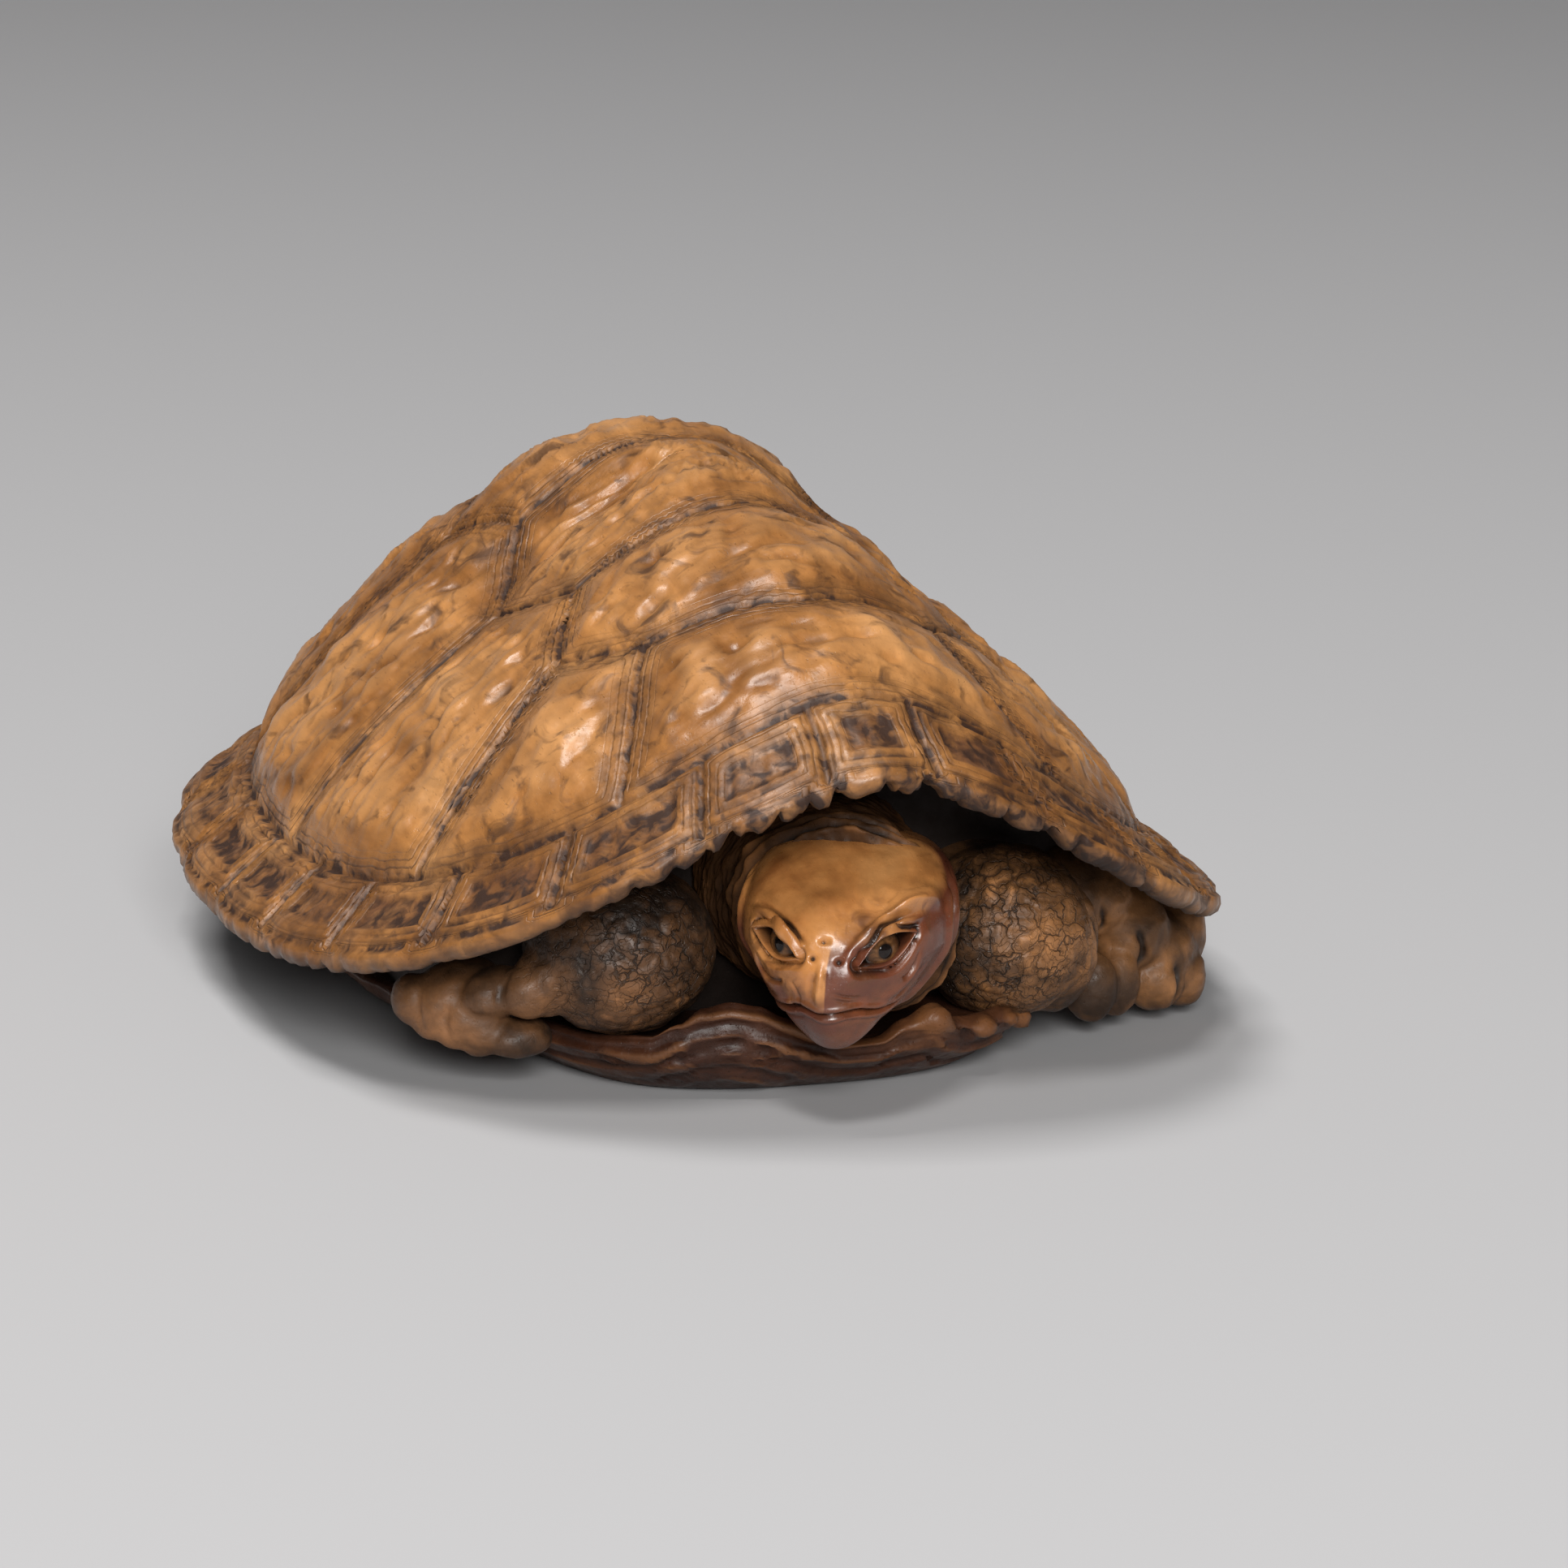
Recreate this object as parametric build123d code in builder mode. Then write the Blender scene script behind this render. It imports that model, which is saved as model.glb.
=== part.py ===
from build123d import *
import math
import os

os.makedirs("parts", exist_ok=True)

# A small carved wooden tortoise at rest on its belly plate, its head turned a
# little to its own right. The head looks along -Y, +Z is up, and the middle
# of the rest face is the origin. The carver's block is divided along the
# carved boundaries: shell, belly plate, head, neck skin, limbs and tail. The
# inlaid eyes are pieces of their own.

# Shell
shell_length = 57.0
shell_width = 45.6
crown_height = 24.6
rim_thickness = 1.3
flank_rim_height = 4.4
head_arch_height = 11.6
rear_lift = 2.0
marginal_rise = 3.7
crown_hump = 0.9
hump_setback = 8.0
hump_length = 8.0
hump_width = 9.0
scallop_bulge = 0.35
seam_width = 0.8
seam_depth = 0.45
scute_swell = 0.45
swell_run = 1.8

# Solid middle of the block, between the pockets for the head and the limbs
core_half_width = 16.0
core_front = 14.5
core_rear = 15.0
core_corner = 6.5

# Belly plate
plate_half_width = 17.0
plate_half_length = 22.0
plate_thickness = 2.6
plate_edge_step = 1.1
plate_edge_inset = 1.6
plate_foot_inset = 3.6
lip_height = 2.8
lip_thickness = 1.2

# Head and the hood of skin behind it
head_width = 9.5
head_height = 8.2
head_length = 9.0
head_setback = 20.3
head_offset = 1.8
head_rise = 8.8
hood_width = 10.2
hood_height = 10.6
hood_front = 22.4
hood_offset = 0.9
hood_rise = 8.8

# Eyes, let into sockets under the brows
iris_radius = 0.95
iris_dome = 0.35
iris_seat_depth = 0.5
pupil_radius = 0.42
pupil_proud = 0.05
orbit_radius = 1.45
orbit_depth = 1.3
eye_spacing = 4.3
eye_forward = 6.9
eye_rise = 0.6

# Mouth and brows
mouth_width = 8.0
mouth_depth = 0.4
mouth_height = 0.35
mouth_drop = 1.9
mouth_back = 4.6
brow_radius = 0.5

# Limbs and tail
foreleg_girth = 8.0
foreleg_reach = 10.0
hindleg_girth = 7.4
hindleg_reach = 9.0
toe_length = 3.0
toe_girth = 1.9
tail_length = 9.5
tail_girth = 3.6

# Fits and tools
fit_clearance = 0.03
overrun = 12.0

half_length = shell_length / 2
half_width = shell_width / 2

# Proportions without a unit. Angles are measured in plan from the head.
outline_power_share = 2.4
marginal_share = 0.872
arch_spread_angle = 32.0
arch_power_share = 1.45
front_slope_share = 1.87
flank_slope_share = 1.1
rear_slope_share = 2.5
flank_straight_share = 0.86
shoulder_power_share = 7.5
quarter_turn = 90.0


def outline_reach(angle):
    """Plan distance from the middle to the rim, at an angle from the head."""
    along = abs(math.cos(math.radians(angle)) / half_length)
    across = abs(math.sin(math.radians(angle)) / half_width)
    total = along**outline_power_share + across**outline_power_share
    return total ** (-1 / outline_power_share)


def rim_height(angle):
    """Height of the rim's lower edge: arched over the head, a little lifted behind."""
    arch = head_arch_height * math.exp(-((angle / arch_spread_angle) ** arch_power_share))
    behind = math.sin(math.radians(max(angle - quarter_turn, 0))) ** 2
    return flank_rim_height + arch + rear_lift * behind


def slope_shares(angle):
    """How full the shell's slope is, and how much of it is that slope, towards an angle."""
    flank = math.sin(math.radians(angle)) ** 2
    if angle < quarter_turn:
        full = front_slope_share + (flank_slope_share - front_slope_share) * flank
        return full, 1 + (flank_straight_share - 1) * flank
    return rear_slope_share + (flank_slope_share - rear_slope_share) * flank, flank_straight_share


def shell_height(x, y):
    """Height of the shell's upper face: a keeled crown, then the flared marginal band."""
    angle = math.degrees(math.atan2(abs(x), -y))
    share = math.hypot(x, y) / outline_reach(angle)
    rim = rim_height(angle)
    seam = rim + marginal_rise
    if share > marginal_share:
        flare = (share - marginal_share) / (1 - marginal_share)
        return seam - (marginal_rise - rim_thickness) * flare
    inner = share / marginal_share
    full, straight = slope_shares(angle)
    fall = straight * inner**full + (1 - straight) * inner**shoulder_power_share
    behind = ((y - hump_setback) / hump_length) ** 2 + (x / hump_width) ** 2
    return seam + (crown_height - seam) * (1 - fall) + crown_hump * math.exp(-behind)


def ring_point(angle, share=1.0, out=0.0):
    """Plan point at an angle from the head, at a share of the way to the rim."""
    reach = outline_reach(abs(angle)) * share + out
    return (reach * math.sin(math.radians(angle)), -reach * math.cos(math.radians(angle)))


# Seams divide the shell into five vertebral, eight costal and twenty-four
# marginal scutes. Their places are shares of the shell's half width and length.
marginal_seam_angles = (5, 16, 29, 42, 56, 71, 88, 106, 123, 139, 154, 168)
first_corner_angle = 24
last_corner_angle = 158
costal_seam_angles = (49, 84, 122)
joint_shares = ((0.30, -0.53), (0.33, -0.23), (0.32, 0.14), (0.25, 0.47))
keel_shares = (-0.61, -0.24, 0.13, 0.49)
wide_shares = ((0.43, -0.40), (0.43, -0.05), (0.41, 0.30))
ring_step_angle = 9
half_turn = 180


def plan_point(side, pair):
    """A seam's corner on one side of the shell, from its shares."""
    return (side * pair[0] * half_width, pair[1] * half_length)


def seam_paths(side):
    """The seams of one side: along the vertebrals, across the keel, down the costals, over the rim."""
    chain = [ring_point(side * first_corner_angle, marginal_share)]
    for joint, wide in zip(joint_shares, wide_shares):
        chain += [plan_point(side, joint), plan_point(side, wide)]
    chain += [plan_point(side, joint_shares[-1])]
    chain += [ring_point(side * last_corner_angle, marginal_share)]
    paths = [chain]
    for joint, keel in zip(joint_shares, keel_shares):
        paths.append([plan_point(side, joint), (0, keel * half_length)])
    for wide, angle in zip(wide_shares, costal_seam_angles):
        paths.append([plan_point(side, wide), ring_point(side * angle, marginal_share)])
    for angle in marginal_seam_angles:
        inner = ring_point(side * angle, marginal_share)
        paths.append([inner, ring_point(side * angle, out=overrun)])
    return paths


scute_paths = [path for side in (1, -1) for path in seam_paths(side)]


def seam_gap(x, y):
    """Plan distance from a point to the nearest seam."""
    angle = math.degrees(math.atan2(abs(x), -y))
    gap = abs(math.hypot(x, y) - outline_reach(angle) * marginal_share)
    for path in scute_paths:
        for (x0, y0), (x1, y1) in zip(path, path[1:]):
            run = (x1 - x0) ** 2 + (y1 - y0) ** 2
            along = min(max(((x - x0) * (x1 - x0) + (y - y0) * (y1 - y0)) / run, 0), 1)
            gap = min(gap, math.hypot(x0 + along * (x1 - x0) - x, y0 + along * (y1 - y0) - y))
    return gap


def scute_height(x, y):
    """The upper face with each scute inside the marginal ring swelling from its seams."""
    angle = math.degrees(math.atan2(abs(x), -y))
    inside = math.hypot(x, y) < outline_reach(angle) * marginal_share
    swell = scute_swell * (1 - math.exp(-((seam_gap(x, y) / swell_run) ** 2)))
    return shell_height(x, y) + (swell if inside else 0)


def knife_flats(sections):
    """A solid whose sides are flat facets between sections with as many corners each."""
    faces = [Face(Wire.make_polygon(section)) for section in (sections[0], sections[-1])]
    for first, last in zip(sections, sections[1:]):
        for corner in range(len(first)):
            before = corner - 1
            faces.append(Face(Wire.make_polygon((first[before], first[corner], last[corner]))))
            faces.append(Face(Wire.make_polygon((first[before], last[corner], last[before]))))
    return Solid(Shell(faces))


def shell_block(stations, shares_across, height):
    """A block under the shell's upper face, which is laid in broad knife flats."""
    sections = []
    for station_share in stations:
        station = station_share * half_length
        half = [
            (share * half_width, height(share * half_width, station)) for share in shares_across
        ]
        crest = [(-x, z) for x, z in reversed(half[1:])] + half
        edge = crest[-1][0]
        outline = crest + [(edge, -overrun), (-edge, -overrun)]
        sections.append([(x, station, z) for x, z in outline])
    with BuildPart() as block:
        add(knife_flats(sections))
    return block.part


station_shares = (
    -1.14, -1.04, -0.95, -0.87, -0.79, -0.7, -0.6, -0.49, -0.37, -0.24, -0.1, 0.02,
    0.13, 0.26, 0.38, 0.49, 0.6, 0.7, 0.79, 0.86, 0.93, 1.02, 1.14,
)
across_shares = (0, 0.12, 0.22, 0.32, 0.43, 0.55, 0.66, 0.75, 0.82, 0.88, 0.96, 1.06, 1.2)
dome = shell_block(station_shares, across_shares, scute_height)

# The solid middle of the block
with BuildPart() as core:
    with BuildSketch(Plane.XY.offset(plate_thickness)) as core_plan:
        with Locations((0, (core_rear - core_front) / 2)):
            Rectangle(2 * core_half_width, core_front + core_rear)
        chamfer(core_plan.vertices(), core_corner)
    extrude(amount=crown_height + overrun)

# What is hollow under the rim, round the middle, in plainer knife cuts
hollow_station_shares = (
    -1.14, -1.04, -0.95, -0.87, -0.79, -0.6, -0.24, 0.13, 0.49, 0.7, 0.79, 0.86, 0.93, 1.02, 1.14,
)
hollow_across_shares = (0, 0.32, 0.55, 0.75, 0.82, 0.88, 0.96, 1.2)
with BuildPart() as pocket:
    with Locations((0, 0, -rim_thickness)):
        add(shell_block(hollow_station_shares, hollow_across_shares, shell_height))
    add(core.part, mode=Mode.SUBTRACT)

# Carapace: the dome cut to its scalloped rim, hollowed below, with every seam
# sunk to one depth.
with BuildPart() as seams:
    with BuildSketch(Plane.XY):
        for edge, kind in ((seam_width / 2, Mode.ADD), (-seam_width / 2, Mode.SUBTRACT)):
            with BuildLine():
                angles = range(-half_turn, half_turn, ring_step_angle)
                Polyline([ring_point(angle, marginal_share, edge) for angle in angles], close=True)
            make_face(mode=kind)
        for path in scute_paths:
            with BuildLine():
                Polyline(path)
            trace(line_width=seam_width)
    extrude(amount=crown_height + overrun)
    with Locations((0, 0, -seam_depth)):
        add(dome, mode=Mode.SUBTRACT)

with BuildPart() as carapace:
    add(dome)
    with BuildSketch(Plane.XY.offset(-overrun)):
        with BuildLine():
            turns = [-angle for angle in reversed(marginal_seam_angles)] + list(marginal_seam_angles)
            turns.append(2 * half_turn + turns[0])
            for first, last in zip(turns, turns[1:]):
                middle = (first + last) / 2
                ThreePointArc(
                    ring_point(first),
                    ring_point(middle, out=scallop_bulge),
                    ring_point(last),
                )
        make_face()
    extrude(amount=crown_height + 2 * overrun, mode=Mode.INTERSECT)
    add(pocket.part, mode=Mode.SUBTRACT)
    add(seams.part, mode=Mode.SUBTRACT)
carapace.part.label = "carapace"
export_step(carapace.part, "parts/carapace.step")

# Belly plate. Its outline has a front lobe, a bridge on each flank, a rear
# lobe and the notches between them; its edge rises from a smaller rest face.
# Points of one side, as shares of the plate's half width and half length.
plate_outline_shares = (
    (0.34, -0.99), (0.6, -0.87), (0.67, -0.7), (0.82, -0.52), (1.0, -0.3), (1.02, 0.0),
    (0.99, 0.3), (0.8, 0.5), (0.62, 0.68), (0.56, 0.85), (0.3, 0.97),
)
plate_front_share = -1.01
plate_notch_share = 0.91
plate_levels = ((0, plate_foot_inset), (plate_edge_step, plate_edge_inset), (plate_thickness, 0))
# The gular lip along the plate's front edge: across, along and height shares
lip_shares = (
    (-0.56, -0.83, 0.3), (-0.35, -0.95, 1.0), (-0.12, -0.97, 0.6),
    (0.2, -0.96, 0.5), (0.4, -0.93, 0.55), (0.57, -0.82, 0.25),
)
# The lip's section, its rim rounded by flats: height and thickness shares
lip_section_shares = ((-1, -1), (0.7, -1), (1, -0.4), (1, 0.4), (0.7, 1), (-1, 1))
with BuildPart() as plastron:
    levels = []
    for level, inset in plate_levels:
        across = plate_half_width - inset
        along = plate_half_length - inset
        flank = [(across * x, along * y) for x, y in plate_outline_shares]
        outline = [(0, along * plate_front_share)] + flank + [(0, along * plate_notch_share)]
        outline += [(-x, y) for x, y in reversed(flank)]
        levels.append([(x, y, level) for x, y in outline])
    add(knife_flats(levels))
    crest = []
    for x_share, y_share, height_share in lip_shares:
        tall = lip_height * height_share
        foot = (x_share * plate_half_width, y_share * plate_half_length, plate_thickness / 2 + tall / 2)
        cut = Plane(origin=foot, x_dir=(0, 0, 1), z_dir=(-y_share, x_share / 2, 0))
        section = [
            (up * (tall + lip_thickness) / 2, thick * lip_thickness / 2)
            for up, thick in lip_section_shares
        ]
        crest.append([cut.from_local_coords((up, thick, 0)) for up, thick in section])
    add(knife_flats(crest))
plastron.part.label = "plastron"
export_step(plastron.part, "parts/plastron.step")

# Head. Its frame points along the snout: turned to its own right and dipped.
head_turn_angle = 28.0
head_dip_angle = 8.0
turn = math.radians(head_turn_angle)
dip = math.radians(head_dip_angle)
head_forward = Vector(-math.sin(turn) * math.cos(dip), -math.cos(turn) * math.cos(dip), -math.sin(dip))
head_left = Vector(math.cos(turn), -math.sin(turn), 0)
head_up = head_forward.cross(head_left)
head_base = Vector(head_offset, -head_setback, head_rise)
# Stations from the nape to the nose: along, half width, crown and jaw shares
head_stations_shares = (
    (0.0, 0.88, 0.80, 0.86), (0.28, 1.0, 0.88, 1.04), (0.55, 0.90, 0.70, 1.05),
    (0.76, 0.60, 0.46, 0.92), (0.91, 0.30, 0.26, 0.68), (1.0, 0.10, 0.08, 0.36),
)
jaw_taper_share = 0.42
crown_square_share = 0.75
head_facets = 16
brow_facets = 8


def section_corner(turned, half_wide, crown, jaw):
    """A point of the head's section, at an angle from the middle of the crown."""
    up = math.cos(turned)
    across = math.copysign(abs(math.sin(turned)) ** crown_square_share, math.sin(turned))
    return (half_wide * across * (1 - jaw_taper_share * max(-up, 0)), (crown if up > 0 else jaw) * up)


def head_section(half_wide, crown, jaw):
    """Corners of a knife-faceted head section: a rounded crown over a narrower jaw."""
    points = []
    for corner in range(head_facets):
        points.append(section_corner(2 * math.pi * corner / head_facets, half_wide, crown, jaw))
    return points


def head_form(inset):
    """The head's form, smaller by an inset all round."""
    with BuildPart() as form:
        for along, wide, crown, jaw in head_stations_shares:
            reach = along * (head_length - inset)
            with BuildSketch(Plane(head_base + head_forward * reach, head_left, head_forward)):
                with BuildLine():
                    Polyline(
                        head_section(
                            max(wide * head_width / 2 - inset, fit_clearance),
                            max(crown * head_height / 2 - inset, fit_clearance),
                            max(jaw * head_height / 2 - inset, fit_clearance),
                        ),
                        close=True,
                    )
                make_face()
        loft()
    return form.part


def head_point(along, across, up):
    """A point given in the head's own frame."""
    return head_base + head_forward * along + head_left * across + head_up * up


eye_turn_angle = 40.0
eye_lift_share = 0.15
eye_curve = (iris_radius**2 + iris_dome**2) / (2 * iris_dome)
seated = (Align.CENTER, Align.CENTER, Align.MIN)


def eye_frame(side):
    """The plane of an eye: the middle of its bead's edge, and an axis out of the socket."""
    turned = math.radians(eye_turn_angle)
    outward = head_left * (side * math.sin(turned)) + head_up * eye_lift_share
    middle = head_point(eye_forward, side * eye_spacing / 2, eye_rise)
    return Plane(middle, head_up, head_forward * math.cos(turned) + outward)


# Brow ridge over each eye, from the temple to the nose: along, half width and
# crown of the head there, and how far round from the middle of the crown
brow_shares = (
    (0.54, 0.91, 0.71, 0.80), (0.63, 0.79, 0.61, 0.62),
    (0.74, 0.63, 0.48, 0.50), (0.86, 0.40, 0.33, 0.48),
)
head_core = head_form(mouth_depth)
with BuildPart() as mouth:
    along = (mouth_back + head_length + overrun) / 2
    with Locations(Plane(head_point(along, 0, -mouth_drop), head_left, head_forward)):
        Box(mouth_width, mouth_height, head_length + overrun - mouth_back)
    add(head_core, mode=Mode.SUBTRACT)

with BuildPart() as head:
    add(head_form(0))
    for side in (1, -1):
        brow = []
        for along, wide, crown, round_share in brow_shares:
            turned = math.radians(round_share * quarter_turn)
            across, up = section_corner(turned, wide * head_width / 2, crown * head_height / 2, 0)
            brow.append(head_point(along * head_length, side * across, up))
        for number, spot in enumerate(brow):
            before = brow[max(number - 1, 0)]
            after = brow[min(number + 1, len(brow) - 1)]
            with BuildSketch(Plane(origin=spot, z_dir=after - before)):
                RegularPolygon(brow_radius, brow_facets)
        loft()
    add(mouth.part, mode=Mode.SUBTRACT)
    for side in (1, -1):
        with Locations(eye_frame(side)):
            Cone(iris_radius + fit_clearance, orbit_radius, orbit_depth, align=seated, mode=Mode.SUBTRACT)
            with Locations((0, 0, -iris_seat_depth)):
                Cylinder(iris_radius + fit_clearance, orbit_depth, align=seated, mode=Mode.SUBTRACT)
head.part.label = "head"
export_step(head.part, "parts/head.step")

# Inlaid eyes: a domed iris seated in its socket and a pupil let into the iris
for side, name in ((1, "left"), (-1, "right")):
    with BuildPart() as pupil:
        with Locations(eye_frame(side)):
            Cylinder(pupil_radius, iris_dome + pupil_proud, align=seated)
    pupil.part.label = name + "_pupil"
    export_step(pupil.part, "parts/" + name + "_pupil.step")

    with BuildPart() as iris:
        with Locations(eye_frame(side)):
            with Locations((0, 0, -iris_seat_depth)):
                Cylinder(iris_radius, iris_seat_depth + iris_dome, align=seated)
            with Locations((0, 0, iris_dome - eye_curve)):
                Sphere(eye_curve, mode=Mode.INTERSECT)
            Cylinder(pupil_radius + fit_clearance / 2, eye_curve, align=seated, mode=Mode.SUBTRACT)
    iris.part.label = name + "_iris"
    export_step(iris.part, "parts/" + name + "_iris.step")

limb_facets = 12


def oval(half_wide, half_tall, facets=limb_facets):
    """The knife-faceted oval of the hood, the limbs, the tail and the toes."""
    turns = [2 * math.pi * corner / facets for corner in range(facets)]
    return [(half_wide * math.cos(turned), half_tall * math.sin(turned)) for turned in turns]


# The hood of neck skin, from the pocket's wall to the head, which it wraps
hood_shares = ((1.0, 1.06, 0.0), (1.0, 1.0, 0.75), (0.93, 0.92, 1.0))
with BuildPart() as neck_skin:
    collars = []
    for wide, tall, along in hood_shares:
        station = core_front + (hood_front - core_front) * along
        ring = oval(wide * hood_width / 2, tall * hood_height / 2)
        collars.append([(hood_offset + x, -station, hood_rise + z) for x, z in ring])
    add(knife_flats(collars))
    add(head.part, mode=Mode.SUBTRACT)
    add(plastron.part, mode=Mode.SUBTRACT)
neck_skin.part.label = "neck_skin"
export_step(neck_skin.part, "parts/neck_skin.step")


def limb_plane(spot, side, heading, droop=0):
    """The plane across a limb or toe that points along a heading, in shares of a quarter turn."""
    aim = math.radians(heading * quarter_turn)
    axis = (side * math.sin(aim), -math.cos(aim), -droop)
    return Plane(origin=spot, x_dir=(math.cos(aim), side * math.sin(aim), 0), z_dir=axis)


def carved_limb(side, girth, reach, runs, toes, toe_place):
    """One limb: runs of upright oval sections, knife-faceted, then toes fanned round the foot.

    A run starts with its heading, in shares of a quarter turn from straight
    ahead, and how flat its ovals are. A station is its place outward, forward
    and up in shares of the reach, and its width in shares of the girth.
    """
    with BuildPart() as form:
        for heading, flat, *stations in runs:
            sections = []
            for out, ahead, up, wide in stations:
                cut = limb_plane((side * out * reach, -ahead * reach, up * reach), side, heading)
                ring = oval(wide * girth / 2, flat * wide * girth / 2)
                sections.append([cut.from_local_coords((x, z, 0)) for x, z in ring])
            add(knife_flats(sections))
        out, ahead, up = toe_place
        foot = (side * out * reach, -ahead * reach, up * reach)
        for heading, start, length in toes:
            cut = limb_plane(foot, side, heading, toe_droop_share)
            sections = []
            for along, fat in toe_form_shares:
                place = (start + along * length) * toe_length
                ring = oval(fat * toe_girth / 2, fat * toe_girth / 2, toe_facets)
                sections.append([cut.from_local_coords((x, z, place)) for x, z in ring])
            add(knife_flats(sections))
        add(plastron.part, mode=Mode.SUBTRACT)
        add(neck_skin.part, mode=Mode.SUBTRACT)
    return form.part


toe_facets = 6
toe_droop_share = 0.1
toe_form_shares = ((0.0, 0.95), (0.6, 1.0), (1.0, 0.4))
# Runs of each limb and of the tail, which lies to the left under the rear rim
right_foreleg_shares = (
    (
        0, 0.93,
        (0.80, 1.45, 0.74, 0.94), (0.79, 1.80, 0.71, 0.97),
        (0.78, 2.02, 0.68, 0.78), (0.78, 2.13, 0.66, 0.40),
    ),
    (1.25, 0.78, (0.90, 1.84, 0.54, 0.70), (1.36, 1.70, 0.40, 0.60), (1.64, 1.60, 0.32, 0.32)),
)
left_foreleg_shares = (
    (
        0, 0.99,
        (0.96, 1.45, 0.68, 0.90), (0.99, 1.78, 0.64, 0.92),
        (1.01, 1.99, 0.60, 0.76), (1.02, 2.11, 0.58, 0.38),
    ),
    (1.35, 0.85, (1.15, 1.76, 0.50, 0.70), (1.62, 1.50, 0.40, 0.62), (1.93, 1.31, 0.28, 0.38)),
)
hindleg_shares = (
    (2, 0.95, (1.0, -1.667, 0.72, 0.90), (1.09, -2.10, 0.63, 0.86), (1.17, -2.40, 0.53, 0.36)),
    (1.09, 0.78, (1.22, -2.02, 0.50, 0.68), (1.62, -1.96, 0.36, 0.58), (1.90, -1.91, 0.28, 0.32)),
)
tail_shares = (
    (2, 0.9, (0.0, -1.579, 0.526, 1.05), (0.07, -1.96, 0.51, 0.86), (0.16, -2.2, 0.49, 0.5)),
    (1.42, 0.95, (0.0, -1.96, 0.50, 0.74), (0.3, -2.28, 0.47, 0.55), (0.68, -2.52, 0.43, 0.2)),
)
# Toes: heading, where each starts along itself, and its length
foreleg_toe_shares = ((0.67, 0.3, 0.9), (0.98, 0.5, 1.0), (1.28, 0.5, 1.0), (1.61, 0.3, 0.9))
hindleg_toe_shares = ((0.61, 0.25, 0.85), (0.91, 0.4, 0.9), (1.2, 0.4, 0.9), (1.53, 0.25, 0.8))
right_paw_share = (1.42, 1.67, 0.30)
left_paw_share = (1.74, 1.43, 0.28)
hind_paw_share = (1.72, -1.94, 0.25)
no_paw_share = (0, 0, 0)
foreleg = (foreleg_girth, foreleg_reach)
hindleg = (hindleg_girth, hindleg_reach)
limbs = (
    ("right_foreleg", -1, *foreleg, right_foreleg_shares, foreleg_toe_shares, right_paw_share),
    ("left_foreleg", 1, *foreleg, left_foreleg_shares, foreleg_toe_shares, left_paw_share),
    ("right_hindleg", -1, *hindleg, hindleg_shares, hindleg_toe_shares, hind_paw_share),
    ("left_hindleg", 1, *hindleg, hindleg_shares, hindleg_toe_shares, hind_paw_share),
    ("tail", 1, tail_girth, tail_length, tail_shares, (), no_paw_share),
)
for name, side, girth, reach, runs, toes, toe_place in limbs:
    limb = carved_limb(side, girth, reach, runs, toes, toe_place)
    limb.label = name
    export_step(limb, "parts/" + name + ".step")
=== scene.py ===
import math

import bmesh
import bpy
from mathutils import Matrix, Vector, kdtree, noise
from mathutils.bvhtree import BVHTree


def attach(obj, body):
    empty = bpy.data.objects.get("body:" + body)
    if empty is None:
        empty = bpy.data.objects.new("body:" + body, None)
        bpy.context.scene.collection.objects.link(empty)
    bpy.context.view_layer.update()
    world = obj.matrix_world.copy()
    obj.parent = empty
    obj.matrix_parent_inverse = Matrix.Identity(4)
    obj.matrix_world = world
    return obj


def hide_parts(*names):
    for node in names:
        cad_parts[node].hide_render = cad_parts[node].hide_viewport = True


# The carving is measured in millimetres here; meshes are written in metres.
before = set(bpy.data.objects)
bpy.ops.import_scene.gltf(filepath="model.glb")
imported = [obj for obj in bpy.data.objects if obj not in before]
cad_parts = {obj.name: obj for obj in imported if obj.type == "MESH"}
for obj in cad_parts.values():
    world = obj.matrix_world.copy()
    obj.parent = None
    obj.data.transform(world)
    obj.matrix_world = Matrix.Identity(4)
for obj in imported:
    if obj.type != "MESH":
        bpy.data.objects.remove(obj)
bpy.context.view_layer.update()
mm = 0.001


# Viewpoint. The figure was photographed close up with a long lens, from a
# little above and to its right, so the camera stands where that lens stood.
view_azimuth = math.radians(-18)
view_elevation = math.radians(14)
view_roll = math.radians(1.0)
view_distance = 300 * mm
view_aim = Vector((4.3, -1.5, 9.3)) * mm
lens_pixels = 7850
photo_pixels = 1932

across = Vector((math.cos(view_azimuth), math.sin(view_azimuth), 0))
back = Vector((
    math.sin(view_azimuth) * math.cos(view_elevation),
    -math.cos(view_azimuth) * math.cos(view_elevation),
    math.sin(view_elevation),
))
upward = back.cross(across)
level = across * math.cos(view_roll) + upward * math.sin(view_roll)
camera_data = bpy.data.cameras.new("camera")
camera_data.sensor_fit = "HORIZONTAL"
camera_data.sensor_width = 36
camera_data.lens = camera_data.sensor_width * lens_pixels / photo_pixels
camera_data.clip_start = 5 * mm
camera = bpy.data.objects.new("camera", camera_data)
camera.matrix_world = Matrix.Translation(view_aim + back * view_distance) @ Matrix(
    (level, back.cross(level), back)
).transposed().to_4x4()
bpy.context.scene.collection.objects.link(camera)
bpy.context.scene.camera = camera
bpy.context.scene.view_settings.view_transform = "Standard"


# Table and light. A pale grey sweep of paper runs under the figure and rises
# far behind it. Three soft boxes light it: one high at the left, one over the
# brow and a low one in front that reaches under the rim.
sweep_half_width = 1.2
sweep_depth = 1.1
sweep_rise = 0.9
sweep_turn = 0.35
paper_grey = (0.45, 0.45, 0.46, 1)
figure_middle = Vector((0, 0, 8)) * mm
lamp_white = (1.0, 0.98, 0.96)
front_white = (1.0, 0.99, 0.97)
room_grey = (0.82, 0.84, 0.88, 1)
room_strength = 0.07

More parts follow.
